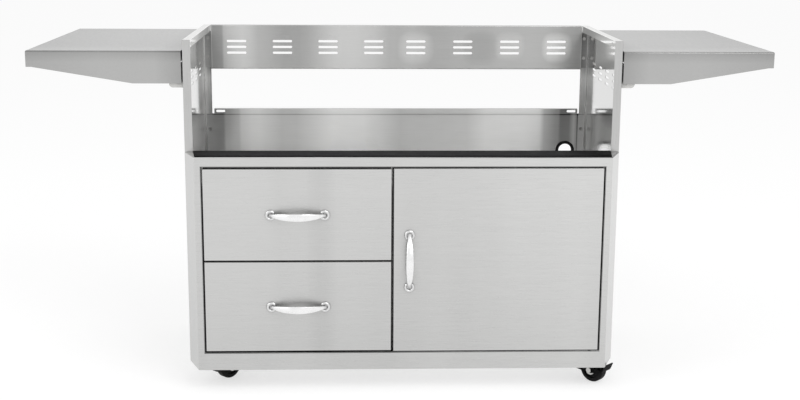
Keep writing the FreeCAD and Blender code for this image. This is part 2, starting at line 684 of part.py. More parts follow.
def lower_back_panel(doc, s):
    """Back of the cabinet, up to an open gap below the vented band."""
    body = new_body(doc, "lower_back_panel")
    end = s.flange_inside - s.panel_gap
    top = s.lower_panel_top
    pad(body, "panel_block", "XY", [rect(-end, end, s.back_front, s.body_depth)], 0, top)

    def back_or_foot(face):
        return lies_at(face, y=s.body_depth) or lies_at(face, z=0)

    shell(body, "panel_sheet", s.sheet, back_or_foot)
    hem_end = end - s.hem_notch
    hem_bottom = top - s.hem_height
    front = s.back_front - s.sheet
    pad(body, "hem", "XZ", [rect(-hem_end, hem_end, hem_bottom, top)], front, s.back_front + s.sheet / 2)
    notches = [rect(side * hem_end, side * (end + 1), hem_bottom, top + 1) for side in (-1, 1)]
    pocket(body, "hem_notches", "XZ", notches, front - 1, s.body_depth + 1)
    across, level = hem_end - s.hem_slot_inset, top - s.hem_height / 2
    slots = [Slot(side * across, level, s.hem_slot_length, s.hem_slot_width) for side in (-1, 1)]
    pocket(body, "hem_slots", "XZ", slots, front - 1, s.back_front + 2 * s.sheet)
    hole = Circle(s.grommet_x, s.grommet_z, s.grommet_hole_radius)
    pocket(body, "grommet_hole", "XZ", [hole], s.back_front - 1, s.back_front + 2 * s.sheet)
    _, panel = screw_places(s)
    fixing_tabs(body, s, s.tab_inset, hem_bottom - s.tab_inset, panel)
    return on_cabinet(s, body)


def hose_grommet(doc, s):
    """Rubber ring that lines the gas hose's hole."""
    body = new_body(doc, "hose_grommet")
    bore, waist, rim = s.grommet_bore_radius, s.grommet_hole_radius, s.grommet_radius
    flange, sheet = s.grommet_flange, s.sheet
    bevel = flange / 2
    revolve(body, "grommet", [
        (bore, -flange), (rim - bevel, -flange), (rim, -bevel), (rim, 0), (waist, 0), (waist, sheet),
        (rim, sheet), (rim, sheet + bevel), (rim - bevel, sheet + flange), (bore, sheet + flange),
    ])
    return place(body, s.grommet_x, s.face_y + s.back_front, s.ground_clearance + s.grommet_z)


def caster_corners(s):
    """Names and cabinet places of the four casters' swivel axes."""
    front, back = s.caster_setback, s.body_depth - s.caster_setback
    return {
        "front_left": (-s.caster_x, front),
        "front_right": (s.caster_x, front),
        "rear_left": (-s.caster_x, back),
        "rear_right": (s.caster_x, back),
    }


def bolt_places(s):
    """Cabinet places of the sixteen caster bolts."""
    return [
        (x + across * s.plate_bolt_x / 2, y + along * s.plate_bolt_y / 2)
        for x, y in caster_corners(s).values()
        for across in (-1, 1)
        for along in (-1, 1)
    ]


def floor_pan(doc, s):
    """Floor of the cabinet, folded down all round, which the casters are bolted under."""
    body = new_body(doc, "floor_pan")
    front, back = s.sheet, s.back_front - s.sheet
    toe = s.half_width - s.chamfer_width - s.bend
    neck = s.flange_inside - s.floor_gap
    knee = front + (neck - toe) * s.chamfer_depth / s.chamfer_width
    shoulder = s.chamfer_depth + s.bend
    side = s.wall_inside
    right = [(toe, front), (neck, knee), (neck, shoulder), (side, shoulder), (side, back)]
    plan = right + [(-x, y) for x, y in reversed(right)]
    pad(body, "floor_block", "XY", [plan], s.floor_underside - s.floor_flange, s.floor_top)
    foot = s.floor_underside - s.floor_flange
    shell(body, "floor_sheet", s.sheet, lambda face: lies_at(face, z=foot))
    radius = s.bolt_radius + s.bolt_play
    holes = [Circle(x, y, radius) for x, y in bolt_places(s)]
    pocket(body, "bolt_holes", "XY", holes, s.floor_underside - 1, s.floor_top + 1)
    return on_cabinet(s, body)


def wall_outline(s, front, bottom):
    """An inner wall seen from its side: its top falls to the back, below the bay's view."""
    top, back = s.opening_top, s.back_front
    return [(front, bottom), (back, bottom), (back, top - s.wall_fall), (s.wall_level, top), (front, top)]


def centre_divider(doc, s):
    """Upright wall between the drawers and the tank's room."""
    body = new_body(doc, "centre_divider")
    left, right = s.divider_left, s.divider_right
    far = left + s.divider_flange
    front, back = s.divider_front, s.back_front
    pad(body, "web", "YZ", [wall_outline(s, front, s.opening_bottom)], left, right)
    front_fold = rect(left, far, front, front + s.sheet)
    pad(body, "front_fold", "XY", [front_fold], s.opening_bottom, s.opening_top)
    back_fold = rect(left, far, back - s.sheet, back)
    pad(body, "back_fold", "XY", [back_fold], s.opening_bottom, s.opening_top - s.wall_fall)
    foot = rect(left, far, s.opening_return + s.floor_gap, back)
    pad(body, "foot_fold", "XY", [foot], s.floor_top, s.floor_top + s.sheet)
    return on_cabinet(s, body)


def drawer_liner(doc, s):
    """Upright wall that carries the drawers' left slides."""
    body = new_body(doc, "drawer_liner")
    inside = s.liner_inside
    outside = inside - s.sheet
    far = outside - s.liner_flange
    near = inside + s.liner_flange
    back = s.back_front
    pad(body, "web", "YZ", [wall_outline(s, s.liner_front, s.floor_top)], outside, inside)
    back_fold = rect(far, inside, back - s.sheet, back)
    pad(body, "back_fold", "XY", [back_fold], s.floor_top, s.opening_top - s.wall_fall)
    foot = rect(outside, near, s.opening_return + s.floor_gap, back)
    pad(body, "foot_fold", "XY", [foot], s.floor_top, s.floor_top + s.sheet)
    return on_cabinet(s, body)


def tank_ring(doc, s):
    """Ring on the floor that holds a gas tank's foot."""
    body = new_body(doc, "tank_ring")
    inner, wall = s.tank_ring_radius, s.tank_ring_wall
    outer = inner + wall
    revolve(body, "ring", [
        (inner, 0), (outer + s.tank_ring_foot, 0), (outer + s.tank_ring_foot, wall), (outer, wall),
        (outer, s.tank_ring_height), (inner, s.tank_ring_height),
    ])
    level = s.ground_clearance + s.floor_top
    return place(body, s.tank_x, s.face_y + s.tank_y, level, Rotation(Vector(1, 0, 0), 90))


# Drawers

def channel(body, name, s, web_low, web_high, lip_low, lip_high, height):
    """A slide member: an upright web with a fold above and below, seen along its length."""
    half = height / 2
    ends = s.slide_start, s.back_front - s.slide_back_gap
    pad(body, f"{name}_web", "XZ", [rect(web_low, web_high, -half, half)], *ends)
    upper = rect(lip_low, lip_high, half - s.sheet, half)
    lower = rect(lip_low, lip_high, -half, -half + s.sheet)
    pad(body, f"{name}_folds", "XZ", [upper, lower], *ends)


def slide_pair(doc, s, drawer, level, member, web, lips, height):
    """The left and right copies of one member of a drawer's slides, as one node."""
    body = new_body(doc, f"{drawer}_{member}_rail_left")
    wall = s.liner_inside
    channel(body, member, s, wall + web[0], wall + web[1], wall + lips[0], wall + lips[1], height)
    place(body, 0, s.face_y, s.ground_clearance + level)
    image = mirrored(doc, f"{drawer}_{member}_rail_right", body, s.cavity_middle)
    return group(doc, f"{drawer}_{member}_rails", [body, image])


def drawer_slides(doc, s, drawer, level):
    """Telescopic slides: rails on the cabinet, rails between and rails on the drawer."""
    sheet = s.sheet
    outer_height = s.slide_height
    middle_height = outer_height - 2 * (sheet + s.slide_play)
    inner_height = middle_height - 2 * (sheet + s.slide_play)
    middle_web = sheet + s.slide_web_gap
    outer_lips = (as_size(0), s.slide_space - s.slide_tail - sheet)
    middle_lips = (middle_web, s.slide_space - s.slide_tail)
    inner_lips = (middle_web + sheet + s.slide_web_gap, s.slide_space)
    members = (
        ("outer", (as_size(0), sheet), outer_lips, outer_height),
        ("middle", (middle_web, middle_web + sheet), middle_lips, middle_height),
        ("inner", (s.slide_space - sheet, s.slide_space), inner_lips, inner_height),
    )
    return [slide_pair(doc, s, drawer, level, *member) for member in members]


def front_pan(body, s, left, right, bottom, top):
    """A hollow front: a folded sheet with a hem round its open back."""
    pad(body, "front_block", "XZ", [rect(left, right, bottom, top)], 0, s.front_depth)

    def folds(edge):
        across = lies_at(edge, x=left) or lies_at(edge, x=right)
        level = lies_at(edge, z=bottom) or lies_at(edge, z=top)
        return (lies_at(edge, y=0) and (across or level)) or (across and level)

    round_edges(body, "front_folds", s.small_bend, folds)
    hollow = body.newObject("PartDesign::SubtractiveBox", "front_hollow")
    bind(hollow, "Length", right - left - 2 * s.sheet)
    bind(hollow, "Width", s.front_depth - 2 * s.sheet)
    bind(hollow, "Height", top - bottom - 2 * s.sheet)
    for axis, size in zip("xyz", (left + s.sheet, s.sheet, bottom + s.sheet)):
        bind(hollow, f"Placement.Base.{axis}", size)
    hem = s.front_hem
    window = rect(left + hem, right - hem, bottom + hem, top - hem)
    pocket(body, "back_window", "XZ", [window], s.front_depth - 2 * s.sheet, s.front_depth + 1)


def drawer_tub(doc, s, drawer, bottom):
    """A drawer's open tub."""
    body = new_body(doc, f"{drawer}_tub")
    left, right = s.cavity_middle - s.tub_half, s.cavity_middle + s.tub_half
    front, back = s.front_depth, s.back_front - s.tub_back_gap
    rim = bottom + s.tub_height
    pad(body, "tub_block", "XY", [rect(left, right, front, back)], bottom, rim)

    def corners(edge):
        upright = not lies_at(edge, z=edge.Vertexes[0].Z)
        return upright or lies_at(edge, z=bottom)

    round_edges(body, "tub_corners", s.tub_corner, corners)
    sheet, fold = s.tub_sheet, s.tub_rim
    shell(body, "tub_sheet", sheet, lambda face: lies_at(face, z=rim))
    mouth = rect(left + 2 * sheet, right - 2 * sheet, front + 2 * sheet, back - 2 * sheet)
    rim_plate = rect(left - fold, right + fold, front, back + fold)
    pad(body, "rim", "XY", [rim_plate, mouth], rim - sheet, rim)
    return on_cabinet(s, body)


def drawer(doc, s, name, bottom):
    """One drawer: its front, tub, handle and slides."""
    front = new_body(doc, f"{name}_front")
    front_pan(front, s, s.drawer_front_left, s.gap_left, bottom, bottom + s.drawer_height)
    on_cabinet(s, front)
    tub_floor = bottom + s.tub_lift
    tub = drawer_tub(doc, s, name, tub_floor)
    middle = (s.drawer_front_left + s.gap_left) / 2
    handle = bow_handle(doc, s, f"{name}_handle")
    level = s.ground_clearance + bottom + s.drawer_height / 2
    place(handle, middle, s.face_y, level)
    slides = drawer_slides(doc, s, name, tub_floor + s.slide_above_floor)
    return [front, tub, handle, *slides]


# Handles

def grip_section(body, s, step):
    """One cross-section of the grip: two shallow arcs between narrow edges, square to the bow."""
    half_span = s.handle_centres / 2 + s.grip_overrun
    rise = s.handle_standoff - s.grip_thickness / 2 - s.boss_base
    radius = (half_span * half_span + rise * rise) / (2 * rise)
    along = half_span * step
    out = root(radius * radius - along * along) - (radius - rise)
    swell = 1 - step * step
    half = (s.grip_tip_width + (s.grip_width - s.grip_tip_width) * swell) / 2
    thickness = s.grip_tip_thickness + (s.grip_thickness - s.grip_tip_thickness) * swell
    edge = thickness / 4
    sagitta = thickness / 2 - edge
    bulge = (half * half + sagitta * sagitta) / (2 * sagitta)
    sketch = body.newObject("Sketcher::SketchObject", "grip_section")
    sketch.AttachmentSupport = [(origin_feature(body, "YZ_Plane"), "")]
    sketch.MapMode = "FlatFace"
    lean = math.degrees(math.asin(along.number / radius.number))
    sketch.AttachmentOffset = Placement(Vector(0, 0, 0), Rotation(Vector(0, 1, 0), lean))
    bind(sketch, "AttachmentOffset.Base.x", -out - s.boss_base)
    bind(sketch, "AttachmentOffset.Base.z", along)
    corners = [(-edge, -half), (-edge, half), (edge, half), (edge, -half)]
    ends = [point(x, y) for x, y in corners]
    front_middle = point(-thickness / 2, 0)
    back_middle = point(thickness / 2, 0)
    curves = (
        Part.Arc(ends[0], front_middle, ends[1]),
        Part.LineSegment(ends[1], ends[2]),
        Part.Arc(ends[2], back_middle, ends[3]),
        Part.LineSegment(ends[3], ends[0]),
    )
    front, top, back, bottom = [sketch.addGeometry(curve, False) for curve in curves]
    pin_point(sketch, top, 1, *corners[1])
    pin_point(sketch, top, 2, *corners[2])
    pin_point(sketch, bottom, 1, *corners[3])
    pin_point(sketch, bottom, 2, *corners[0])
    for arc, line, arc_point, line_end in joined_ends(sketch, (front, back), (top, bottom)):
        sketch.addConstraint(Sketcher.Constraint("Coincident", arc, arc_point, line, line_end))
    pin_radius(sketch, front, bulge)
    pin_radius(sketch, back, bulge)
    return sketch


def joined_ends(sketch, arcs, lines):
    """Which end of each arc meets which end of each line."""
    for arc in arcs:
        for arc_end in (1, 2):
            for line in lines:
                for line_end in (1, 2):
                    apart = sketch.getPoint(arc, arc_end) - sketch.getPoint(line, line_end)
                    if apart.Length < TOLERANCE:
                        yield arc, line, arc_end, line_end


def bow_handle(doc, s, label):
    """A cast bow handle: a grip that swells to the middle and rises out of two C-shaped bosses.

    It lies along X and stands out towards -Y from the panel at Y = 0.
    """
    body = new_body(doc, label)
    centre = s.handle_centres / 2
    bosses = [Circle(side * centre, 0, s.boss_radius) for side in (-1, 1)]
    pad(body, "bosses", "XZ", bosses, -s.boss_height, 0)
    recesses = [Circle(side * centre, 0, s.boss_recess_radius) for side in (-1, 1)]
    pocket(body, "recesses", "XZ", recesses, -s.boss_height - 1, -s.boss_base)
    rim = (s.boss_radius - s.boss_recess_radius) / 2 - 0.2
    round_edges(body, "rims", rim, lambda edge: lies_at(edge, y=-s.boss_height))
    chord, across = centre - s.boss_chord, s.boss_radius + 1
    pocket(body, "chord", "XZ", [rect(-chord, chord, -across, across)], -s.boss_height - 1, 1)
    slot = s.boss_recess_radius
    pocket(body, "slot", "XZ", [rect(-centre, centre, -slot, slot)], -s.boss_height - 1, -s.boss_base)
    sections = [grip_section(body, s, step) for step in GRIP_STEPS]
    grip = body.newObject("PartDesign::AdditiveLoft", "grip")
    grip.Profile = sections[0]
    grip.Sections = sections[1:]
    return body


# Door

def door_parts(doc, s):
    """The door: front, liner, handle, bushes and strike plate."""
    front = new_body(doc, "door_front")
    front_pan(front, s, s.gap_right, s.door_right, s.door_bottom, s.door_top)
    pivot = Circle(s.pivot_x, s.pivot_depth, s.bush_radius + s.running_gap)
    for name, low in (("lower", s.door_bottom), ("upper", s.door_top - s.sheet)):
        pocket(front, f"{name}_bush_hole", "XY", [pivot], low - 1, low + s.sheet + 1)
    on_cabinet(s, front)
    liner = new_body(doc, "door_liner")
    inset = s.door_liner_inset
    face = rect(s.gap_right + inset, s.door_right - inset, s.door_bottom + inset, s.door_top - inset)
    pad(liner, "liner", "XZ", [face], s.front_depth, s.front_depth + s.sheet)
    on_cabinet(s, liner)
    handle = bow_handle(doc, s, "door_handle")
    level = s.ground_clearance + (s.door_bottom + s.door_top) / 2
    upright = Rotation(Vector(0, 1, 0), 90)
    place(handle, s.gap_right + s.door_handle_inset, s.face_y, level, upright)
    bushes = [
        door_bush(doc, s, "door_bush_lower", s.door_bottom),
        door_bush(doc, s, "door_bush_upper", s.door_top - s.bush_length),
    ]
    return [front, liner, handle, group(doc, "door_bushes", bushes), strike_plate(doc, s)]


def door_bush(doc, s, label, bottom):
    """A bush in the door's edge that turns on a pivot pin."""
    body = new_body(doc, label)
    outside = Circle(0, 0, s.bush_radius)
    bore = Circle(0, 0, s.pin_radius + s.running_gap)
    pad(body, "bush", "XY", [outside, bore], 0, s.bush_length)
    return place(body, s.pivot_x, s.face_y + s.pivot_depth, s.ground_clearance + bottom)


def pivot_pin(doc, s, label, seat, gap, direction):
    """A footed pin on the opening's fold, reaching into the door's bush."""
    body = new_body(doc, label)
    foot_end = direction * s.pin_flange
    tip = direction * (gap + s.bush_length - s.pin_flange)
    low, high = (as_size(0), foot_end) if direction > 0 else (foot_end, as_size(0))
    pad(body, "foot", "XY", [Circle(0, 0, s.pin_flange_radius)], low, high)
    low, high = (as_size(0), tip) if direction > 0 else (tip, as_size(0))
    pad(body, "shank", "XY", [Circle(0, 0, s.pin_radius)], low, high)
    return place(body, s.pivot_x, s.face_y + s.pivot_depth, s.ground_clearance + seat)


def door_pivot_pins(doc, s):
    """The pins above and below the door."""
    lower = pivot_pin(doc, s, "door_pin_lower", s.opening_bottom, s.door_bottom_gap, 1)
    upper = pivot_pin(doc, s, "door_pin_upper", s.opening_top, s.door_top_gap, -1)
    return group(doc, "door_pivot_pins", [lower, upper])


def door_catch(doc, s):
    """Magnetic catch on the divider, with a nose that reaches past its front fold."""
    body = new_body(doc, "door_catch")
    left = s.divider_right
    back_of_fold = s.divider_front + s.sheet
    top = s.opening_top - s.catch_drop
    bottom = top - s.catch_height
    right = left + s.catch_width
    block = rect(left, right, back_of_fold, back_of_fold + s.catch_depth)
    pad(body, "catch_block", "XY", [block], bottom, top)
    fold_end = s.divider_left + s.divider_flange + s.floor_gap
    nose_front = s.divider_front - s.bumper_gap + s.sheet + s.strike_gap
    nose = rect(fold_end, right, nose_front, back_of_fold + s.sheet)
    pad(body, "nose", "XY", [nose], bottom, top)
    return on_cabinet(s, body)


def strike_plate(doc, s):
    """Plate on the door's liner that the catch holds."""
    body = new_body(doc, "door_strike")
    right = s.divider_right + s.catch_width
    middle = s.opening_top - s.catch_drop - s.catch_height / 2
    back_of_liner = s.front_depth + s.sheet
    half = s.strike_height / 2
    face = rect(right - s.strike_width, right, middle - half, middle + half)
    pad(body, "strike", "XZ", [face], back_of_liner, back_of_liner + s.sheet)
    return on_cabinet(s, body)


# Shelves

def shelf_pan(doc, s):
    """Right side shelf: a folded pan whose skirts taper to the outer end."""
    body = new_body(doc, "right_shelf")
    inner, outer = s.shelf_inner, s.shelf_outer
    low, top = s.shelf_bottom, s.shelf_top
    outer_low = top - s.shelf_outer_height
    profile = [
        (inner, top), (inner, low), (inner + s.shelf_level, low),
        (outer - s.shelf_toe, outer_low), (outer, outer_low), (outer, top),
    ]
    front, back = s.chamfer_depth, s.shelf_back
    pad(body, "shelf_block", "XZ", [profile], front, back)

    def is_open(face):
        beneath = face.normalAt(0, 0).z < -0.5 and face.BoundBox.ZMax < top.number - 1
        return beneath or lies_at(face, x=inner)

    shell(body, "shelf_sheet", s.sheet, is_open)

    def folds(inset):
        def picked(edge):
            ends = lies_at(edge, y=front + inset) or lies_at(edge, y=back - inset)
            corner = lies_at(edge, x=outer - inset) and ends
            return corner or (lies_at(edge, z=top - inset) and not lies_at(edge, x=inner))
        return picked

    round_edges(body, "outer_folds", s.shelf_round, folds(as_size(0)))
    round_edges(body, "inner_folds", s.shelf_round - s.sheet, folds(s.sheet))
    hem = rect(inner, inner + s.sheet, top - s.shelf_hem, top - s.sheet / 2)
    pad(body, "hinge_end_fold", "XZ", [hem], front + s.sheet / 2, back - s.sheet / 2)
    return on_cabinet(s, body)


def bracket_planes(s):
    """Each shelf bracket's upright plate, front to back, and the side its arm and leaf lie on."""
    front = s.chamfer_depth + s.bracket_front
    back = s.body_depth - s.bracket_back
    return (("front", front, front + s.plate, 1), ("back", back - s.plate, back, -1))


def shelf_bracket(doc, s, name, low, high, inward):
    """Angle plate on the cabinet's side that carries a shelf arm's pivot bolt."""
    body = new_body(doc, f"right_shelf_bracket_{name}")
    wall = s.half_width
    bottom = s.shelf_bottom - s.bracket_below
    top = bottom + s.bracket_height
    reach = wall + s.bracket_reach
    slope = s.bracket_height / 2
    ear = [(wall, bottom), (reach, bottom), (reach, bottom + slope), (wall + s.plate, top), (wall, top)]
    pad(body, "ear", "XZ", [ear], low, high)
    round_edges(body, "ear_corner", s.bracket_round, lambda edge: lies_at(edge, x=reach, z=bottom))
    near, far = (low, low + s.bracket_leaf) if inward > 0 else (high - s.bracket_leaf, high)
    pad(body, "leaf", "XY", [rect(wall, wall + s.plate, near, far)], bottom, top)
    bore = Circle(s.shelf_pivot_x, s.shelf_pivot_z, s.bolt_radius + s.running_gap)
    pocket(body, "pivot_hole", "XZ", [bore], low - 1, high + 1)
    return on_cabinet(s, body)


def shelf_arm(doc, s, name, low, high, inward):
    """Arm under a shelf that turns on its bracket's pivot bolt."""
    body = new_body(doc, f"right_shelf_arm_{name}")
    x, z, boss = s.shelf_pivot_x, s.shelf_pivot_z, s.arm_boss
    under = s.shelf_top - s.sheet
    end = x + s.arm_length
    near = low - s.arm_gap - s.plate if inward > 0 else high + s.arm_gap
    far = near + s.plate
    arm = [
        (x - boss, under), (x - boss, z - boss / 2), (x - boss / 2, z - boss),
        (x + boss / 2, z - boss), (end, under - s.arm_foot), (end, under),
    ]
    pad(body, "arm", "XZ", [arm], near, far)
    fold_near, fold_far = (near, near + s.arm_foot) if inward > 0 else (far - s.arm_foot, far)
    fold = rect(x - boss, end, fold_near, fold_far)
    pad(body, "fold", "XY", [fold], under - s.plate, under)
    bore = Circle(x, z, s.bolt_radius + s.running_gap)
    pocket(body, "pivot_hole", "XZ", [bore], near - 1, far + 1)
    return on_cabinet(s, body)


def pivot_bolt(doc, s, name, low, high, inward):
    """Bolt through a shelf arm and its bracket, with its head and nut."""
    body = new_body(doc, f"right_shelf_pivot_bolt_{name}")
    reach = s.plate + s.arm_gap
    near, far = (low - reach, high) if inward > 0 else (low, high + reach)
    near, far = near - s.race_gap, far + s.race_gap
    x, z = s.shelf_pivot_x, s.shelf_pivot_z
    pad(body, "shank", "XZ", [Circle(x, z, s.bolt_radius)], near, far)
    pad(body, "head", "XZ", [hexagon(x, z, s.bolt_head_radius)], near - s.bolt_head, near)
    pad(body, "nut", "XZ", [hexagon(x, z, s.bolt_head_radius)], far, far + s.bolt_head)
    return on_cabinet(s, body)


def hexagon(x, y, radius):
    """The corners of a hexagon, from its corner radius."""
    turns = [math.radians(60 * i) for i in range(6)]
    return [(x + radius * math.cos(turn), y + radius * math.sin(turn)) for turn in turns]


def shelves(doc, s):
    """Both shelves with their arms, brackets and pivot bolts, the left ones mirrored."""
    pan = shelf_pan(doc, s)
    nodes = [pan, mirrored(doc, "left_shelf", pan)]
    kinds = (
        ("shelf_brackets", shelf_bracket),
        ("shelf_arms", shelf_arm),
        ("shelf_pivot_bolts", pivot_bolt),
    )
    for kind, make in kinds:
        pieces = [make(doc, s, *plane) for plane in bracket_planes(s)]
        right = group(doc, f"right_{kind}", pieces)
        nodes += [right, mirrored(doc, f"left_{kind}", right)]
    return nodes


# Casters

def caster_plate(doc, s, corner):
    """Top plate with its swivel race and kingpin."""
    body = new_body(doc, f"{corner}_caster_plate")
    half_x, half_y = s.plate_width / 2, s.plate_depth / 2
    top = s.plate_top
    underside = top - s.plate
    pad(body, "plate", "XY", [rect(-half_x, half_x, -half_y, half_y)], underside, top)

    def corners(edge):
        return not lies_at(edge, z=edge.Vertexes[0].Z)

    round_edges(body, "plate_corners", s.plate_corner, corners)
    race_bottom = s.crown_top + s.race_gap
    pad(body, "race", "XY", [Circle(0, 0, s.race_radius)], race_bottom, underside)
    head_top = s.crown_underside - s.race_gap
    pad(body, "kingpin", "XY", [Circle(0, 0, s.kingpin_radius)], head_top, race_bottom)
    rivet = Circle(0, 0, s.kingpin_head_radius)
    pad(body, "kingpin_head", "XY", [rivet], head_top - s.kingpin_head, head_top)
    radius = s.bolt_radius + s.bolt_play
    holes = [
        Circle(across * s.plate_bolt_x / 2, along * s.plate_bolt_y / 2, radius)
        for across in (-1, 1)
        for along in (-1, 1)
    ]
    pocket(body, "bolt_holes", "XY", holes, underside - 1, top + 1)
    return body


def caster_fork(doc, s, corner):
    """Stamped fork: a round crown and two legs that slant down to round ends at the axle."""
    body = new_body(doc, f"{corner}_caster_fork")
    trail, axle = s.caster_trail, s.wheel_radius
    end, crown = s.leg_end_radius, s.race_radius
    out, up = LEG_SHOULDER
    side = [
        (-crown, s.crown_top), (crown, s.crown_top), (trail + out * end, axle + up * end),
        (trail - LEG_HEEL * end, axle - LEG_HEEL * end), (-crown, s.crown_underside - s.leg_sheet),
    ]
    pad(body, "fork_block", "XZ", [side], -s.leg_outside, s.leg_outside)
    pad(body, "leg_ends", "XZ", [Circle(trail, axle, end)], -s.leg_outside, s.leg_outside)
    pad(body, "crown", "XY", [Circle(0, 0, s.crown_radius)], s.crown_underside, s.crown_top)
    channel_shape = rect(-s.leg_inside, s.leg_inside, axle - end - 1, s.crown_underside)
    pocket(body, "wheel_channel", "YZ", [channel_shape], -s.crown_radius - 1, trail + end + 1)
    bore = Circle(trail, axle, s.axle_radius + s.running_gap)
    pocket(body, "axle_hole", "XZ", [bore], -s.leg_outside - 1, s.leg_outside + 1)
    kingpin = Circle(0, 0, s.kingpin_radius + s.running_gap)
    pocket(body, "kingpin_hole", "XY", [kingpin], s.crown_underside - 1, s.crown_top + 1)
    return body


def caster_axle(doc, s, corner, grip):
    """Axle bolt, turned about its own Y axis, with head and nut outside the fork."""
    body = new_body(doc, f"{corner}_caster_axle")
    radius, head, end = s.axle_radius, s.axle_head_radius, grip + s.axle_head
    revolve(body, "axle", [
        (0, -end), (head, -end), (head, -grip), (radius, -grip),
        (radius, grip), (head, grip), (head, end), (0, end),
    ])
    return body


def caster_wheel(doc, s, corner):
    """Solid rubber wheel, turned about its own Y axis."""
    body = new_body(doc, f"{corner}_caster_wheel")
    bore = s.axle_radius + s.running_gap
    hub, web, tread = s.leg_inside - s.hub_play, s.wheel_web / 2, s.wheel_width / 2
    revolve(body, "wheel", [
        (bore, -hub), (s.wheel_hub_radius, -hub), (s.wheel_hub_radius, -web), (s.wheel_rim_radius, -web),
        (s.wheel_rim_radius, -tread), (s.wheel_radius, -tread), (s.wheel_radius, tread),
        (s.wheel_rim_radius, tread), (s.wheel_rim_radius, web), (s.wheel_hub_radius, web),
        (s.wheel_hub_radius, hub), (bore, hub),
    ])

    def tread_edges(edge):
        curve = edge.Curve
        return isinstance(curve, Part.Circle) and abs(curve.Radius - s.wheel_radius.number) < TOLERANCE

    round_edges(body, "tread_edges", s.wheel_round, tread_edges)
    return body


def brake_lever(doc, s, corner):
    """Rocking brake lever that straddles the fork on the axle: a raised pedal and a release tab."""
    body = new_body(doc, f"{corner}_brake_lever")
    trail, axle = s.caster_trail, s.wheel_radius
    pedal = trail + s.lever_reach
    release = trail - s.lever_release
    clear = s.wheel_radius + s.lever_clear
    half, sheet = s.lever_half_width, s.lever_sheet
    slant = sheet * 3 / 2
    root, tip = axle + half / 2, axle + half / 2 + s.lever_rise
    arm = [
        (release, axle - sheet / 2), (trail - clear, axle - half / 2), (trail, axle - half),
        (trail + clear, axle), (trail + clear + slant, root), (pedal, tip), (pedal - slant, tip),
        (trail + clear, root), (trail, axle + half), (trail - clear, axle + sheet / 2),
        (release, axle + sheet / 2),
    ]
    outside = s.lever_outside
    inside = outside - s.lever_sheet
    pad(body, "lever_block", "XZ", [arm], -outside, outside)
    middle = rect(trail - clear, trail + clear, -inside, inside)
    pocket(body, "fork_room", "XY", [middle], axle - 2 * half, axle + 2 * half)
    bore = Circle(trail, axle, s.axle_radius + s.running_gap)
    pocket(body, "axle_hole", "XZ", [bore], -outside - 1, outside + 1)
    return body


def casters(doc, s):
    """Four swivel casters, each turned its own way, with brakes on the front two."""
    nodes = []
    for corner, (x, y) in caster_corners(s).items():
        heading = CASTER_HEADINGS[corner]
        turn = Rotation(Vector(0, 0, 1), heading)
        braked = corner.startswith("front")
        depth = s.face_y + y
        nodes.append(place(caster_plate(doc, s, corner), x, depth, 0))
        nodes.append(place(caster_fork(doc, s, corner), x, depth, 0, turn))
        grip = s.lever_outside + s.lever_gap if braked else s.leg_outside
        across = s.caster_trail * math.cos(math.radians(heading))
        along = s.caster_trail * math.sin(math.radians(heading))
        hub = (x + across, depth + along, s.wheel_radius)
        nodes.append(place(caster_axle(doc, s, corner, grip), *hub, turn))
        nodes.append(place(caster_wheel(doc, s, corner), *hub, turn))
        if braked:
            nodes.append(place(brake_lever(doc, s, corner), x, depth, 0, turn))
    return nodes


# Fasteners

def hex_prism(doc, name, radius, height, level):
    """A hexagonal head or nut with its axis upright."""
    prism = doc.addObject("Part::Prism", name)
    prism.Polygon = 6
    bind(prism, "Circumradius", radius)
    bind(prism, "Height", height)
    bind(prism, "Placement.Base.z", level)
    return prism


def cylinder(doc, name, radius, height, level):
    """A round shank with its axis upright."""
    shank = doc.addObject("Part::Cylinder", name)
    bind(shank, "Radius", radius)
    bind(shank, "Height", height)
    bind(shank, "Placement.Base.z", level)
    return shank


def fused(doc, name, pieces):
    """One solid from several."""
    union = doc.addObject("Part::MultiFuse", name)
    union.Shapes = pieces
    return union


def caster_bolts(doc, s):
    """Hex bolts and nuts that hold the casters under the floor."""
    grip = s.plate + s.sheet
    bolts = []
    for i, (x, y) in enumerate(bolt_places(s), start=1):
        head = hex_prism(doc, f"bolt_head_{i}", s.bolt_head_radius, s.bolt_head, -s.bolt_head)
        shank = cylinder(doc, f"bolt_shank_{i}", s.bolt_radius, grip, 0)
        nut = hex_prism(doc, f"bolt_nut_{i}", s.bolt_head_radius, s.bolt_head, grip)
        bolt = fused(doc, f"caster_bolt_{i}", [head, shank, nut])
        bolts.append(place(bolt, x, s.face_y + y, s.plate_top - s.plate))
    return group(doc, "caster_bolts", bolts)


def panel_screws(doc, s):
    """Screws and nuts that hold the back panels' tabs to the side panels' rear flanges."""
    grip = 2 * s.sheet
    band, panel = screw_places(s)
    from_behind = Rotation(Vector(1, 0, 0), 90)
    places = [
        (side * (s.flange_inside + s.screw_inset), height) for side in (-1, 1) for height in band + panel
    ]
    screws = []
    for i, (x, height) in enumerate(places, start=1):
        head = cylinder(doc, f"screw_head_{i}", s.screw_head_radius, s.screw_head, -s.screw_head)
        shank = cylinder(doc, f"screw_shank_{i}", s.screw_radius, grip, 0)
        nut = hex_prism(doc, f"screw_nut_{i}", s.screw_head_radius, s.screw_head, grip)
        screw = fused(doc, f"panel_screw_{i}", [head, shank, nut])
        depth = s.face_y + s.body_depth
        screws.append(place(screw, x, depth, s.ground_clearance + height, from_behind))
    return group(doc, "panel_screws", screws)


# Checking and writing

def check_features(doc):
    """Stops at a failed object, and at a cut that removed nothing."""
    for obj in doc.Objects:
        if "Invalid" in obj.State or "Error" in obj.State:
            raise RuntimeError(f"{obj.Label} has failed")
        if obj.TypeId == "PartDesign::Pocket" and obj.Shape.Volume >= obj.BaseFeature.Shape.Volume:
            raise RuntimeError(f"{obj.Label} cuts nothing")


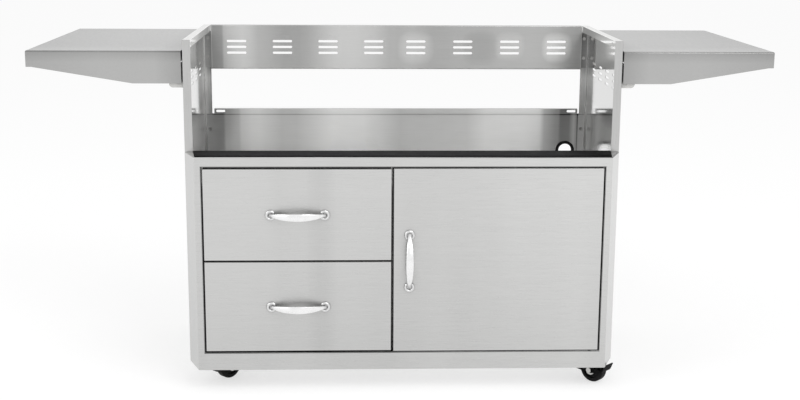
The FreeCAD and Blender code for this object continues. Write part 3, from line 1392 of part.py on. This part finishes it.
def check_node(node):
    """Stops at a piece with no sound solid."""
    shape = node.Shape
    if shape.isNull() or not shape.isValid() or not shape.Solids:
        raise RuntimeError(f"{node.Label} is not a sound solid")


def build(doc):
    """Every piece of the cart."""
    s = Sizes(doc)
    right_panel = side_panel(doc, s)
    upper_bottom = s.opening_top - s.drawer_end_gap - s.drawer_height
    lower_bottom = s.opening_bottom + s.drawer_end_gap
    return [
        face_frame(doc, s),
        right_panel,
        mirrored(doc, "left_side_panel", right_panel),
        heat_strip(doc, s),
        upper_back_band(doc, s),
        lower_back_panel(doc, s),
        hose_grommet(doc, s),
        floor_pan(doc, s),
        centre_divider(doc, s),
        drawer_liner(doc, s),
        tank_ring(doc, s),
        *drawer(doc, s, "upper_drawer", upper_bottom),
        *drawer(doc, s, "lower_drawer", lower_bottom),
        *door_parts(doc, s),
        door_pivot_pins(doc, s),
        door_catch(doc, s),
        *shelves(doc, s),
        *casters(doc, s),
        caster_bolts(doc, s),
        panel_screws(doc, s),
    ]


def main():
    """Builds the document, checks it and writes one file per piece."""
    doc = FreeCAD.newDocument("grill_cart")
    nodes = build(doc)
    doc.recompute()
    check_features(doc)
    for node in nodes:
        check_node(node)
    os.makedirs("parts", exist_ok=True)
    for node in nodes:
        node.Shape.exportStep(f"parts/{node.Label}.step")
    print(f"{len(nodes)} pieces written")


main()
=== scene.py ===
import math

import bpy
from mathutils import Matrix, Vector


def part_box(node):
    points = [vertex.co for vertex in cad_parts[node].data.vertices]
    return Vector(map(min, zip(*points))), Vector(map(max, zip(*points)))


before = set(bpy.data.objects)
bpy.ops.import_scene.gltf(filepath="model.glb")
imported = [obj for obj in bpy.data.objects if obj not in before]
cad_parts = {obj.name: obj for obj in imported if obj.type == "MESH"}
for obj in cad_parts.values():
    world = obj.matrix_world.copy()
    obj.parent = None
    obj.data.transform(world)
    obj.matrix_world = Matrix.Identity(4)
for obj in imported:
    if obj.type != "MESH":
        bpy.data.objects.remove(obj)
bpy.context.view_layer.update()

X, Y, Z = range(3)
CORNERS = ("front_left", "front_right", "rear_left", "rear_right")


# Places on the cart, in metres

FACE = -0.3325
OPENING = ((-0.4705, 0, 0.097), (0.4705, 0, 0.545))
HEM_LINE = 0.593


# Painted reflections: soft bands of painted light and shade on the front-facing sides: middle along X, half
# width, soft edge and strength

DRAWER_WAVES = (
    (-0.256, 0.035, 0.03, -0.035),
    (-0.192, 0.006, 0.03, -0.07),
)
DOOR_WAVES = (
    (0.08, 0.06, 0.1, -0.025),
    (0.3, 0.3, 0.05, -0.02),
)
BAND_WAVES = (
    (-0.53, 0.037, 0.002, -0.45),
    (-0.4925, 0.0007, 0.0007, 0.5),
    (-0.478, 0.013, 0.005, -0.3),
    (-0.43, 0.02, 0.04, 0.22),
    (-0.28, 0.02, 0.09, -0.27),
    (-0.13, 0.02, 0.09, 0.18),
    (-0.01, 0.01, 0.04, -0.1),
    (0.3, 0.21, 0.1, -0.21),
    (0.49, 0.01, 0.05, -0.2),
    (0.4945, 0.0007, 0.0007, 0.4),
    (0.53, 0.035, 0.002, -0.3),
)
PANEL_WAVES = (
    # The first band paints the whole front of the panel lighter.
    (0, 1, 1, 0.25),
    (-0.53, 0.064, 0.007, -0.44),
    (-0.442, 0.017, 0.008, -0.2),
    (-0.38, 0.01, 0.06, 0.35),
    (-0.13, 0.04, 0.1, 0.52),
    (0.31, 0.07, 0.05, 0.25),
    (0.435, 0.035, 0.012, -0.35),
    (0.456, 0.012, 0.006, -0.26),
    (0.481, 0.007, 0.004, -0.16),
    (0.49, 0.001, 0.001, -0.37),
    (0.53, 0.04, 0.01, -0.42),
)


# Painted light: soft spots of light and shade on the vented band: middle along X and Z, half sizes and
# strength

BAND_LIGHT_SPOTS = (
    (0.05, 0.772, 0.05, 0.046, 0.17),
    (0.222, 0.772, 0.05, 0.05, -0.11),
    (0.301, 0.778, 0.042, 0.04, 0.11),
    (0.428, 0.774, 0.042, 0.042, 0.29),
)
SPOT_POWER = 3


# Grain of brushed sheet: how much each kind of streak changes the tone and the roughness

FINE_CONTRAST = 0.03
STREAK_CONTRAST = 0.009
SMOOTHER, ROUGHER = 0.04, 0.05


# Camera, light and floor

CAMERA_PLACE = (-0.1247, -3.3217, 1.1061)
CAMERA_PITCH = 0.21022
CAMERA_YAW = -0.03847
CAMERA_ROLL = 0.00622
FOCAL_PIXELS = 1312.7
PICTURE_WIDTH = 800
SENSOR_WIDTH = 36

LAMP_TARGET = (0, 0, 0.5)
LAMP_SIZE = 2.4
KEY_PLACE, KEY_POWER = (1.8, -3.2, 3.4), 60
FILL_PLACE, FILL_POWER = (-3.2, -2.2, 2.2), 30

WORLD_LIGHT = 0.75
FLOOR_REACH = 30
FLOOR_GREY = 0.45
FLOOR_GLOW = 0.62


def make_camera():
    """A camera at the photograph's place, turned by yaw, pitch and roll."""
    forward = Vector((-math.sin(CAMERA_YAW), math.cos(CAMERA_YAW), 0))
    right = Vector((math.cos(CAMERA_YAW), math.sin(CAMERA_YAW), 0))
    up = Vector((0, 0, 1))
    look = forward * math.cos(CAMERA_PITCH) - up * math.sin(CAMERA_PITCH)
    top = forward * math.sin(CAMERA_PITCH) + up * math.cos(CAMERA_PITCH)
    side = right * math.cos(CAMERA_ROLL) + top * math.sin(CAMERA_ROLL)
    head = top * math.cos(CAMERA_ROLL) - right * math.sin(CAMERA_ROLL)
    turn = Matrix((side, head, -look)).transposed().to_4x4()
    data = bpy.data.cameras.new("camera")
    data.sensor_width = SENSOR_WIDTH
    data.lens = FOCAL_PIXELS / PICTURE_WIDTH * SENSOR_WIDTH
    data.clip_end = 100
    camera = bpy.data.objects.new("camera", data)
    camera.matrix_world = Matrix.Translation(CAMERA_PLACE) @ turn
    bpy.context.scene.collection.objects.link(camera)
    bpy.context.scene.camera = camera


def add_lamp(name, place, power):
    """A soft square lamp aimed at the middle of the cart."""
    data = bpy.data.lights.new(name, "AREA")
    data.shape = "RECTANGLE"
    data.size = LAMP_SIZE
    data.size_y = LAMP_SIZE
    data.energy = power
    lamp = bpy.data.objects.new(name, data)
    lamp.location = place
    aim = Vector(LAMP_TARGET) - Vector(place)
    lamp.rotation_euler = aim.to_track_quat("-Z", "Y").to_euler()
    bpy.context.scene.collection.objects.link(lamp)


def seen_directly(nodes, links):
    """1 for rays from the camera and for rays that metal and glass send on, 0 for the light itself."""
    path = nodes.new("ShaderNodeLightPath")
    first = nodes.new("ShaderNodeMath")
    first.operation = "MAXIMUM"
    links.new(path.outputs["Is Camera Ray"], first.inputs[0])
    links.new(path.outputs["Is Glossy Ray"], first.inputs[1])
    second = nodes.new("ShaderNodeMath")
    second.operation = "MAXIMUM"
    links.new(first.outputs[0], second.inputs[0])
    links.new(path.outputs["Is Transmission Ray"], second.inputs[1])
    return second.outputs[0]


def make_world():
    """White where it is seen, weaker as light."""
    world = bpy.data.worlds.new("studio")
    world.use_nodes = True
    bpy.context.scene.world = world
    nodes, links = world.node_tree.nodes, world.node_tree.links
    nodes.clear()
    light = nodes.new("ShaderNodeBackground")
    light.inputs["Color"].default_value = (1, 1, 1, 1)
    light.inputs["Strength"].default_value = WORLD_LIGHT
    white = nodes.new("ShaderNodeBackground")
    white.inputs["Color"].default_value = (1, 1, 1, 1)
    mix = nodes.new("ShaderNodeMixShader")
    links.new(seen_directly(nodes, links), mix.inputs[0])
    links.new(light.outputs[0], mix.inputs[1])
    links.new(white.outputs[0], mix.inputs[2])
    output = nodes.new("ShaderNodeOutputWorld")
    links.new(mix.outputs[0], output.inputs[0])


def make_floor():
    """A large pale floor that keeps the cart's shadow and is white elsewhere."""
    half = FLOOR_REACH
    corners = [(-half, -half, 0), (half, -half, 0), (half, half, 0), (-half, half, 0)]
    mesh = bpy.data.meshes.new("floor")
    mesh.from_pydata(corners, [], [(0, 1, 2, 3)])
    floor = bpy.data.objects.new("floor", mesh)
    bpy.context.scene.collection.objects.link(floor)
    material = bpy.data.materials.new("pale_floor")
    material.use_nodes = True
    nodes, links = material.node_tree.nodes, material.node_tree.links
    nodes.clear()
    diffuse = nodes.new("ShaderNodeBsdfDiffuse")
    diffuse.inputs["Color"].default_value = (FLOOR_GREY, FLOOR_GREY, FLOOR_GREY, 1)
    glow = nodes.new("ShaderNodeEmission")
    strength = nodes.new("ShaderNodeMath")
    strength.operation = "MULTIPLY"
    strength.inputs[1].default_value = FLOOR_GLOW
    links.new(seen_directly(nodes, links), strength.inputs[0])
    links.new(strength.outputs[0], glow.inputs["Strength"])
    both = nodes.new("ShaderNodeAddShader")
    links.new(diffuse.outputs[0], both.inputs[0])
    links.new(glow.outputs[0], both.inputs[1])
    output = nodes.new("ShaderNodeOutputMaterial")
    links.new(both.outputs[0], output.inputs[0])
    mesh.materials.append(material)


# Materials

class Graph:
    """A material's node tree with short ways to add what the finishes share."""

    def __init__(self, name):
        self.material = bpy.data.materials.new(name)
        self.material.use_nodes = True
        self.nodes = self.material.node_tree.nodes
        self.links = self.material.node_tree.links
        self.shader = self.nodes["Principled BSDF"]
        self.place = self.nodes.new("ShaderNodeTexCoord").outputs["Object"]

    def set(self, **values):
        """Constants on the shader's own sockets."""
        for name, value in values.items():
            self.shader.inputs[name.replace("_", " ")].default_value = value

    def feed(self, socket, value):
        """Links a value to one of the shader's sockets."""
        self.links.new(value, self.shader.inputs[socket])

    def noise(self, scale, detail=2.0, rough=0.5, shift=(0, 0, 0)):
        """Noise stretched by a scale along each axis, from 0 to 1."""
        mapping = self.nodes.new("ShaderNodeMapping")
        mapping.inputs["Scale"].default_value = scale
        mapping.inputs["Location"].default_value = shift
        self.links.new(self.place, mapping.inputs["Vector"])
        noise = self.nodes.new("ShaderNodeTexNoise")
        noise.inputs["Scale"].default_value = 1
        noise.inputs["Detail"].default_value = detail
        noise.inputs["Roughness"].default_value = rough
        self.links.new(mapping.outputs[0], noise.inputs["Vector"])
        return noise.outputs["Fac"]

    def math(self, operation, a, b=0):
        """One step of arithmetic on two values, or on the first alone."""
        node = self.nodes.new("ShaderNodeMath")
        node.operation = operation
        for socket, value in zip(node.inputs, (a, b)):
            if isinstance(value, (int, float)):
                socket.default_value = value
            else:
                self.links.new(value, socket)
        return node.outputs[0]

    def total(self, value, *others):
        """The sum of several values."""
        for other in others:
            value = self.math("ADD", value, other)
        return value

    def product(self, value, *others):
        """Several values multiplied."""
        for other in others:
            value = self.math("MULTIPLY", value, other)
        return value

    def span(self, value, low, high, start=0.3, end=0.7):
        """Stretches a value between start and end onto low and high, and holds it beyond them."""
        node = self.nodes.new("ShaderNodeMapRange")
        node.inputs["From Min"].default_value = start
        node.inputs["From Max"].default_value = end
        node.inputs["To Min"].default_value = low
        node.inputs["To Max"].default_value = high
        self.links.new(value, node.inputs["Value"])
        return node.outputs["Result"]

    def tint(self, base, factor):
        """A colour multiplied by a factor that varies over the surface."""
        node = self.nodes.new("ShaderNodeVectorMath")
        node.operation = "SCALE"
        node.inputs[0].default_value = base
        self.links.new(factor, node.inputs["Scale"])
        return node.outputs[0]

    def smear(self, axis, amount):
        """Blurs reflections along an axis of the object, as a grain across that axis does."""
        turn = self.nodes.new("ShaderNodeVectorTransform")
        turn.vector_type = "VECTOR"
        turn.convert_from = "OBJECT"
        turn.convert_to = "WORLD"
        turn.inputs[0].default_value = [1.0 if i == axis else 0.0 for i in range(3)]
        self.feed("Tangent", turn.outputs[0])
        self.set(Anisotropic=amount)

    def part_of(self, vector, axis):
        """One component of a vector."""
        split = self.nodes.new("ShaderNodeSeparateXYZ")
        self.links.new(vector, split.inputs[0])
        return split.outputs[axis]

    def normal(self, axis):
        """One component of the surface's direction, in the object's own axes."""
        texture = self.nodes.new("ShaderNodeTexCoord")
        return self.part_of(texture.outputs["Normal"], axis)

    def across(self, axis):
        """The object's own coordinate along an axis."""
        return self.part_of(self.place, axis)

    def distance(self, axis, place):
        """How far the surface is from a place along an axis."""
        return self.math("ABSOLUTE", self.math("SUBTRACT", self.across(axis), place))

    def past(self, axis, low, high):
        """How far the surface is past either of two places along an axis, negative between them."""
        below = self.math("SUBTRACT", low, self.across(axis))
        above = self.math("SUBTRACT", self.across(axis), high)
        return self.math("MAXIMUM", below, above)

    def openness(self, distance):
        """1 on an open surface, falling to 0 in a gap or corner narrower than the distance."""
        node = self.nodes.new("ShaderNodeAmbientOcclusion")
        node.samples = 4
        node.inputs["Distance"].default_value = distance
        return node.outputs["AO"]

    def bump(self, height, distance, strength=0.5):
        """Adds relief to the relief that is already there."""
        node = self.nodes.new("ShaderNodeBump")
        node.inputs["Distance"].default_value = distance
        node.inputs["Strength"].default_value = strength
        self.links.new(height, node.inputs["Height"])
        before = self.shader.inputs["Normal"].links
        if before:
            self.links.new(before[0].from_socket, node.inputs["Normal"])
        self.feed("Normal", node.outputs[0])


def stretched(grain, along, across):
    """A noise's scale with one value along the grain and another across it."""
    return [along if axis == grain else across for axis in range(3)]


def brushed(name, tone, grain, smear, rough=0.3, anisotropy=0.6, streaks=0.03, shades=(),
            gloss=None, corners=0, bow=0):
    """Brushed sheet: fine lines along the grain, soft streaks, and reflections smeared along an axis.

    Each of the shades adds to the tone and gloss to the roughness, as a function of the graph.
    Gaps and corners narrower than the distance given as corners get painted shade, darker and with weaker
    reflections.
    bow is the slope of a sheet that leans back towards its top.
    """
    g = Graph(name)
    lines = g.noise(stretched(grain, 20, 900), detail=3)
    middle = g.noise(stretched(grain, 3, 160), detail=2, shift=(3, 1, 7))
    cloud = g.noise(stretched(grain, 5, 0.4), detail=2, rough=0.6, shift=(11, 5, 2))
    factor = g.total(
        g.span(middle, 1 - STREAK_CONTRAST, 1 + STREAK_CONTRAST),
        g.span(cloud, -streaks, streaks),
        g.span(lines, -FINE_CONTRAST, FINE_CONTRAST),
    )
    for shade in shades:
        factor = g.total(factor, shade(g))
    # Painted shade: darker colour and weaker reflections where gaps and corners close in.
    if corners:
        openness = g.openness(corners)
        deep = g.span(openness, 0, 0.75, 0.2, 0.45)
        shallow = g.span(openness, 0, 0.25, 0.45, 0.95)
        factor = g.product(factor, g.total(deep, shallow))
        g.feed("Specular Tint", g.tint((1, 1, 1), g.span(openness, 0, 1, 0.3, 0.7)))
    g.feed("Base Color", g.tint((tone, tone, tone * 0.99), factor))
    roughness = g.span(lines, rough - SMOOTHER, rough + ROUGHER)
    if gloss:
        roughness = g.total(roughness, gloss(g))
    g.feed("Roughness", roughness)
    g.set(Metallic=1.0)
    g.smear(smear, anisotropy)
    if bow:
        g.bump(g.product(g.across(Z), faces_front(g)), -bow, 1)
    g.bump(lines, 0.00002, 0.35)
    return g.material


def faces_front(g):
    """1 on the faces towards the front of the cart and 0 on the others."""
    return g.span(g.normal(Y), 1, 0, -0.8, -0.4)


def outward(g):
    """Below 0 where the sheet faces the middle of the cart, and above 0 on its outside."""
    return g.product(g.normal(X), g.across(X))


def painted_light_bands(places):
    """Painted reflections: bands of light and shade on the side towards the front."""
    def shade(g):
        light = 0.0
        for x, half, edge, strength in places:
            light = g.total(light, g.span(g.distance(X, x), strength, 0, half, half + edge))
        return g.product(light, faces_front(g))
    return shade


def painted_light_spots(places):
    """Painted light: soft spots of light and shade on the side towards the front, which is also painted
    lighter towards its bottom.
    """
    def shade(g):
        light = g.span(g.across(Z), 0.08, -0.04, 0.72, 0.83)
        for x, z, wide, high, strength in places:
            right = g.math("DIVIDE", g.distance(X, x), wide)
            up = g.math("DIVIDE", g.distance(Z, z), high)
            away = g.total(g.math("POWER", right, SPOT_POWER), g.math("POWER", up, SPOT_POWER))
            light = g.total(light, g.span(away, strength, 0, 0.1, 1))
        return g.product(light, faces_front(g))
    return shade


def hem_line(g):
    """Painted shade: a thin dark shadow line below the hem; painted light: the panel lighter towards the
    cabinet.
    """
    line = g.span(g.distance(Z, HEM_LINE), -0.37, 0, 0.0008, 0.002)
    lower = g.span(g.across(Z), 0.06, -0.22, 0.5, 0.595)
    return g.product(g.total(line, lower), faces_front(g))


def rim(low, high, dark=0.0008):
    """Both sides of a rectangle's outline in the front: painted shade as a dark edge along the gap, and a
    painted highlight as a bright line beside it.
    """
    def shade(g):
        sideways = g.past(X, low[X], high[X])
        upwards = g.product(g.past(Z, low[Z], high[Z]), 0.75)
        away = g.math("ABSOLUTE", g.math("MAXIMUM", sideways, upwards))
        edge = g.span(away, -0.85, 0, dark, dark + 0.0006)
        line = g.product(g.span(away, 0.16, 0, 0.0015, 0.0025), g.span(away, 0, 1, 0.0008, 0.0014))
        flat = g.span(g.normal(Y), 1, 0, -0.97, -0.8)
        return g.product(g.total(line, edge), flat)
    return shade


def bar_shade(low, high):
    """Painted reflection of the bar: a soft dark patch above a drawer's handle, stronger towards both ends
    of its bar.
    """
    middle = (low[X] + high[X]) / 2
    top = (low[Z] + high[Z]) / 2 + 0.006

    def shade(g):
        away = g.distance(X, middle)
        strength = g.span(away, 0, -0.3, 0.01, 0.04)
        beside = g.span(away, 1, 0, 0.053, 0.056)
        start = g.span(g.across(Z), 0, 1, top - 0.012, top - 0.008)
        end = g.span(g.across(Z), 1, 0, top, top + 0.01)
        return g.product(strength, beside, start, end)
    return shade


def top_fold(g):
    """Painted shade: the fold at the frame's top edge is darker towards the right, where it would catch the
    light.
    """
    bent = g.span(g.normal(Z), 0, 1, 0.1, 0.3)
    level = g.span(g.normal(Z), 1, 0.5, 0.85, 0.97)
    top = g.span(g.across(Z), 0, 1, 0.56, 0.565)
    right = g.span(g.across(X), 0, -0.9, -0.2, 0.3)
    return g.product(bent, level, top, right)


def dark_ends(g):
    """The heat strip's factor: painted shade, darker at both ends."""
    left = g.span(g.across(X), 0.4, 1, -0.49, -0.44)
    right = g.span(g.across(X), 1, 0, 0.36, 0.45)
    return g.product(left, right)


def front_light(g):
    """Painted light and shade: a little darker towards the floor, and lighter towards the right and on the
    right chamfer.
    """
    height = g.span(g.across(Z), -0.07, 0.02, 0.1, 0.5)
    right = g.span(g.across(X), 0, 0.05, 0.2, 0.5)
    chamfer = g.span(g.normal(X), 0, 0.09, 0.3, 0.6)
    return g.total(height, right, chamfer)


def inner_gloss(g):
    """Smoother on the side that faces the middle of the cart, less so below the opening."""
    smooth = g.span(outward(g), -0.22, 0, -0.3, -0.1)
    height = g.span(g.across(Z), 0.7, 1, 0.6, 0.63)
    return g.product(smooth, height)


def inner_painted_light(g):
    """Painted light and reflection on the inner faces: brighter inside, less so where the opening in the
    back would be mirrored, and darker front flanges as painted shade.
    """
    inside = g.span(outward(g), 1, 0, -0.3, -0.1)
    slanted = g.total(g.across(Z), g.product(g.across(Y), 0.178))
    below = g.span(g.across(Z), 0.78, 0.2, 0.6, 0.64)
    above = g.span(slanted, 0.2, 0.78, 0.744, 0.76)
    bright = g.product(inside, g.math("MAXIMUM", below, above))
    flanges = g.span(g.normal(Y), -0.07, 0, -0.9, -0.7)
    return g.total(bright, flanges)


def rear_flange(g):
    """Painted light and shade on the flanges in the rear corners: lighter below the band and on the right,
    with fine upright lines.
    """
    flange = g.span(g.normal(Y), 1, 0, -0.8, -0.5)
    rear = g.span(g.across(Y), 0, 1, 0.14, 0.16)
    height = g.span(g.across(Z), 0.3, -0.3, 0.69, 0.73)
    left_edge = g.span(g.across(X), 0.1, -0.5, -0.512, -0.497)
    right = g.span(g.across(X), 0, 0.25, -0.1, 0.1)
    lines = g.span(g.noise((900, 900, 4), detail=2), -0.15, 0.15)
    return g.product(flange, rear, g.total(height, left_edge, right, lines))


def painted_top_light(g):
    """Painted light: lighter where the sheet faces up."""
    return g.span(g.normal(Z), 0, 0.35, 0.3, 0.9)


def shelf_painted_shading(g):
    """Painted light and shade on a shelf: lighter at the front of its top, darker at the fold, at both ends
    and below the fold.
    """
    out = g.math("ABSOLUTE", g.across(X))
    outer_end = g.span(out, 0, -0.13, 0.7, 0.88)
    hinge_end = g.span(out, -0.2, 0, 0.52, 0.58)
    bent = g.span(g.normal(Z), 0, 1, 0.05, 0.25)
    fold = g.product(bent, g.span(g.normal(Z), -0.4, -0.2, 0.85, 0.99))
    level = g.span(g.normal(Z), 0, 1, 0.9, 0.99)
    front = g.product(level, g.span(g.across(Y), 0.14, 0, -0.26, -0.14))
    upright = g.span(g.normal(Z), 1, 0, 0.2, 0.5)
    below = g.product(upright, g.span(g.across(Z), 0.03, -0.14, 0.78, 0.803))
    return g.total(outer_end, hinge_end, fold, front, below)


def polished(name, tone):
    """Polished cast metal, faintly uneven, with painted shade in its recesses, at its feet and on the left.
    """
    g = Graph(name)
    buff = g.noise((60, 60, 60), detail=2)
    uneven = g.span(buff, 0.93, 1.0)
    recess = g.span(g.openness(0.009), 0.6, 1, 0.3, 0.9)
    foot = g.span(g.across(Y), 1, 0.8, FACE - 0.012, FACE - 0.006)
    left = g.span(g.normal(X), 0.45, 1, -0.9, -0.6)
    g.feed("Base Color", g.tint((tone, tone, tone), g.product(uneven, recess, foot, left)))
    g.feed("Roughness", g.span(buff, 0.24, 0.32))
    g.set(Metallic=1.0)
    return g.material


def zinc(name, tone):
    """Bright zinc plate: small pale crystals and a faint yellow cast, with painted shade and weaker
    reflections in gaps.
    """
    g = Graph(name)
    spots = g.noise((260, 260, 260), detail=3)
    cloud = g.noise((18, 18, 18), detail=2)
    crystals = g.total(g.span(spots, 0.94, 1.04), g.span(cloud, -0.05, 0.05))
    gap = g.span(g.openness(0.02), 0, 1, 0.15, 0.7)
    g.feed("Base Color", g.tint((tone, tone * 0.995, tone * 0.97), g.product(crystals, gap)))
    g.feed("Specular Tint", g.tint((1, 1, 1), gap))
    g.feed("Roughness", g.span(spots, 0.3, 0.45))
    g.set(Metallic=1.0)
    return g.material


def matt(name, colour, rough=0.6, grain=900, specular=0.5, factor=None):
    """Rubber, moulded plastic or coated steel: a fine skin and slightly worn patches, with painted shade in
    gaps.
    """
    g = Graph(name)
    g.set(Specular_IOR_Level=specular)
    skin = g.noise((grain, grain, grain), detail=3)
    patches = g.noise((25, 25, 25), detail=3)
    worn = g.total(g.span(patches, 0.85, 1.15), g.span(skin, -0.05, 0.05))
    shade = g.product(worn, g.span(g.openness(0.02), 0.1, 1, 0.3, 0.8))
    if factor:
        shade = g.product(shade, factor(g))
    g.feed("Base Color", g.tint(colour, shade))
    g.feed("Roughness", g.span(patches, rough - 0.08, rough + 0.08))
    g.bump(skin, 0.00005, 0.6)
    return g.material


# Finishes

def front_finish(name):
    """The brushed front of a drawer or the door, with a rim of its own: painted light and shade along its
    outline, painted reflection bands, and for drawers a painted reflection of the handle's bar.
    """
    shades = [front_light, rim(*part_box(name))]
    if name == "door_front":
        shades.append(painted_light_bands(DOOR_WAVES))
    else:
        shades.append(painted_light_bands(DRAWER_WAVES))
        shades.append(bar_shade(*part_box(name.replace("front", "handle"))))
    return brushed(f"brushed_{name}", 0.58, X, Z, shades=shades, corners=0.03)


def outer_finishes():
    """Brushed sheet that shows on the outside and in the bay."""
    side = brushed("brushed_side", 0.56, Z, Y, anisotropy=0.3, gloss=inner_gloss,
                   shades=(painted_top_light, inner_painted_light, rear_flange))
    shelf = brushed("brushed_shelf", 0.45, Y, X, rough=0.32, shades=(shelf_painted_shading,))
    finishes = {
        "face_frame": brushed("brushed_frame", 0.57, X, Z, corners=0.03,
                              shades=(front_light, rim(*OPENING, dark=0.0014), top_fold)),
        "right_side_panel": side,
        "left_side_panel": side,
        "upper_back_band": brushed("brushed_band", 0.56, X, Z, rough=0.32, anisotropy=0.85,
                                   shades=(painted_light_bands(BAND_WAVES), painted_light_spots(BAND_LIGHT_SPOTS))),
        "lower_back_panel": brushed("brushed_panel", 0.57, X, Z, rough=0.32, anisotropy=0.85,
                                    shades=(painted_light_bands(PANEL_WAVES), hem_line), bow=0.06),
        "right_shelf": shelf,
        "left_shelf": shelf,
    }
    for name in ("door_front", "upper_drawer_front", "lower_drawer_front"):
        finishes[name] = front_finish(name)
    return finishes


def inner_finishes():
    """Plain sheet inside the cabinet, painted lighter than the outer sheet as painted light inside the
    cabinet, with painted shade in its gaps.
    """
    inner = brushed("inner_sheet", 0.85, X, Z, rough=0.38, streaks=0.06, corners=0.05)
    names = ("floor_pan", "centre_divider", "drawer_liner", "tank_ring", "door_liner",
             "upper_drawer_tub", "lower_drawer_tub")
    return {name: inner for name in names}


def metal_finishes():
    """Polished handles and zinc-plated casters and screws."""
    handle = polished("polished_handle", 0.88)
    caster = zinc("caster_zinc", 0.55)
    finishes = {f"{front}_handle": handle for front in ("door", "upper_drawer", "lower_drawer")}
    finishes["panel_screws"] = zinc("dull_zinc", 0.4)
    for corner in CORNERS:
        for part in ("plate", "fork", "axle"):
            finishes[f"{corner}_caster_{part}"] = caster
    return finishes


def dark_finishes():
    """Rubber, plastic and coated steel."""
    rubber = matt("black_rubber", (0.008, 0.008, 0.008), specular=0.15)
    coated = matt("black_coated", (0.012, 0.012, 0.013), rough=0.45, specular=0.3)
    lever = matt("black_lever", (0.006, 0.006, 0.006), specular=0.08)
    finishes = {
        "heat_strip": matt("heat_strip", (0.013, 0.013, 0.014), rough=0.75, grain=500,
                           specular=0.08, factor=dark_ends),
        "hose_grommet": rubber,
        "door_catch": coated,
        "door_pivot_pins": coated,
        "door_bushes": matt("nylon", (0.03, 0.03, 0.032), rough=0.4),
    }
    for corner in CORNERS:
        finishes[f"{corner}_caster_wheel"] = rubber
        finishes[f"{corner}_brake_lever"] = lever
    return finishes


def finish_nodes():
    """Gives every node of the frame its finish, and zinc to the hardware that isn't named."""
    finishes = {**outer_finishes(), **inner_finishes(), **metal_finishes(), **dark_finishes()}
    hardware = zinc("zinc_hardware", 0.6)
    for name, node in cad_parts.items():
        node.data.materials.clear()
        node.data.materials.append(finishes.get(name, hardware))


bpy.context.scene.view_settings.view_transform = "Standard"
make_camera()
make_world()
make_floor()
add_lamp("key", KEY_PLACE, KEY_POWER)
add_lamp("fill", FILL_PLACE, FILL_POWER)
finish_nodes()
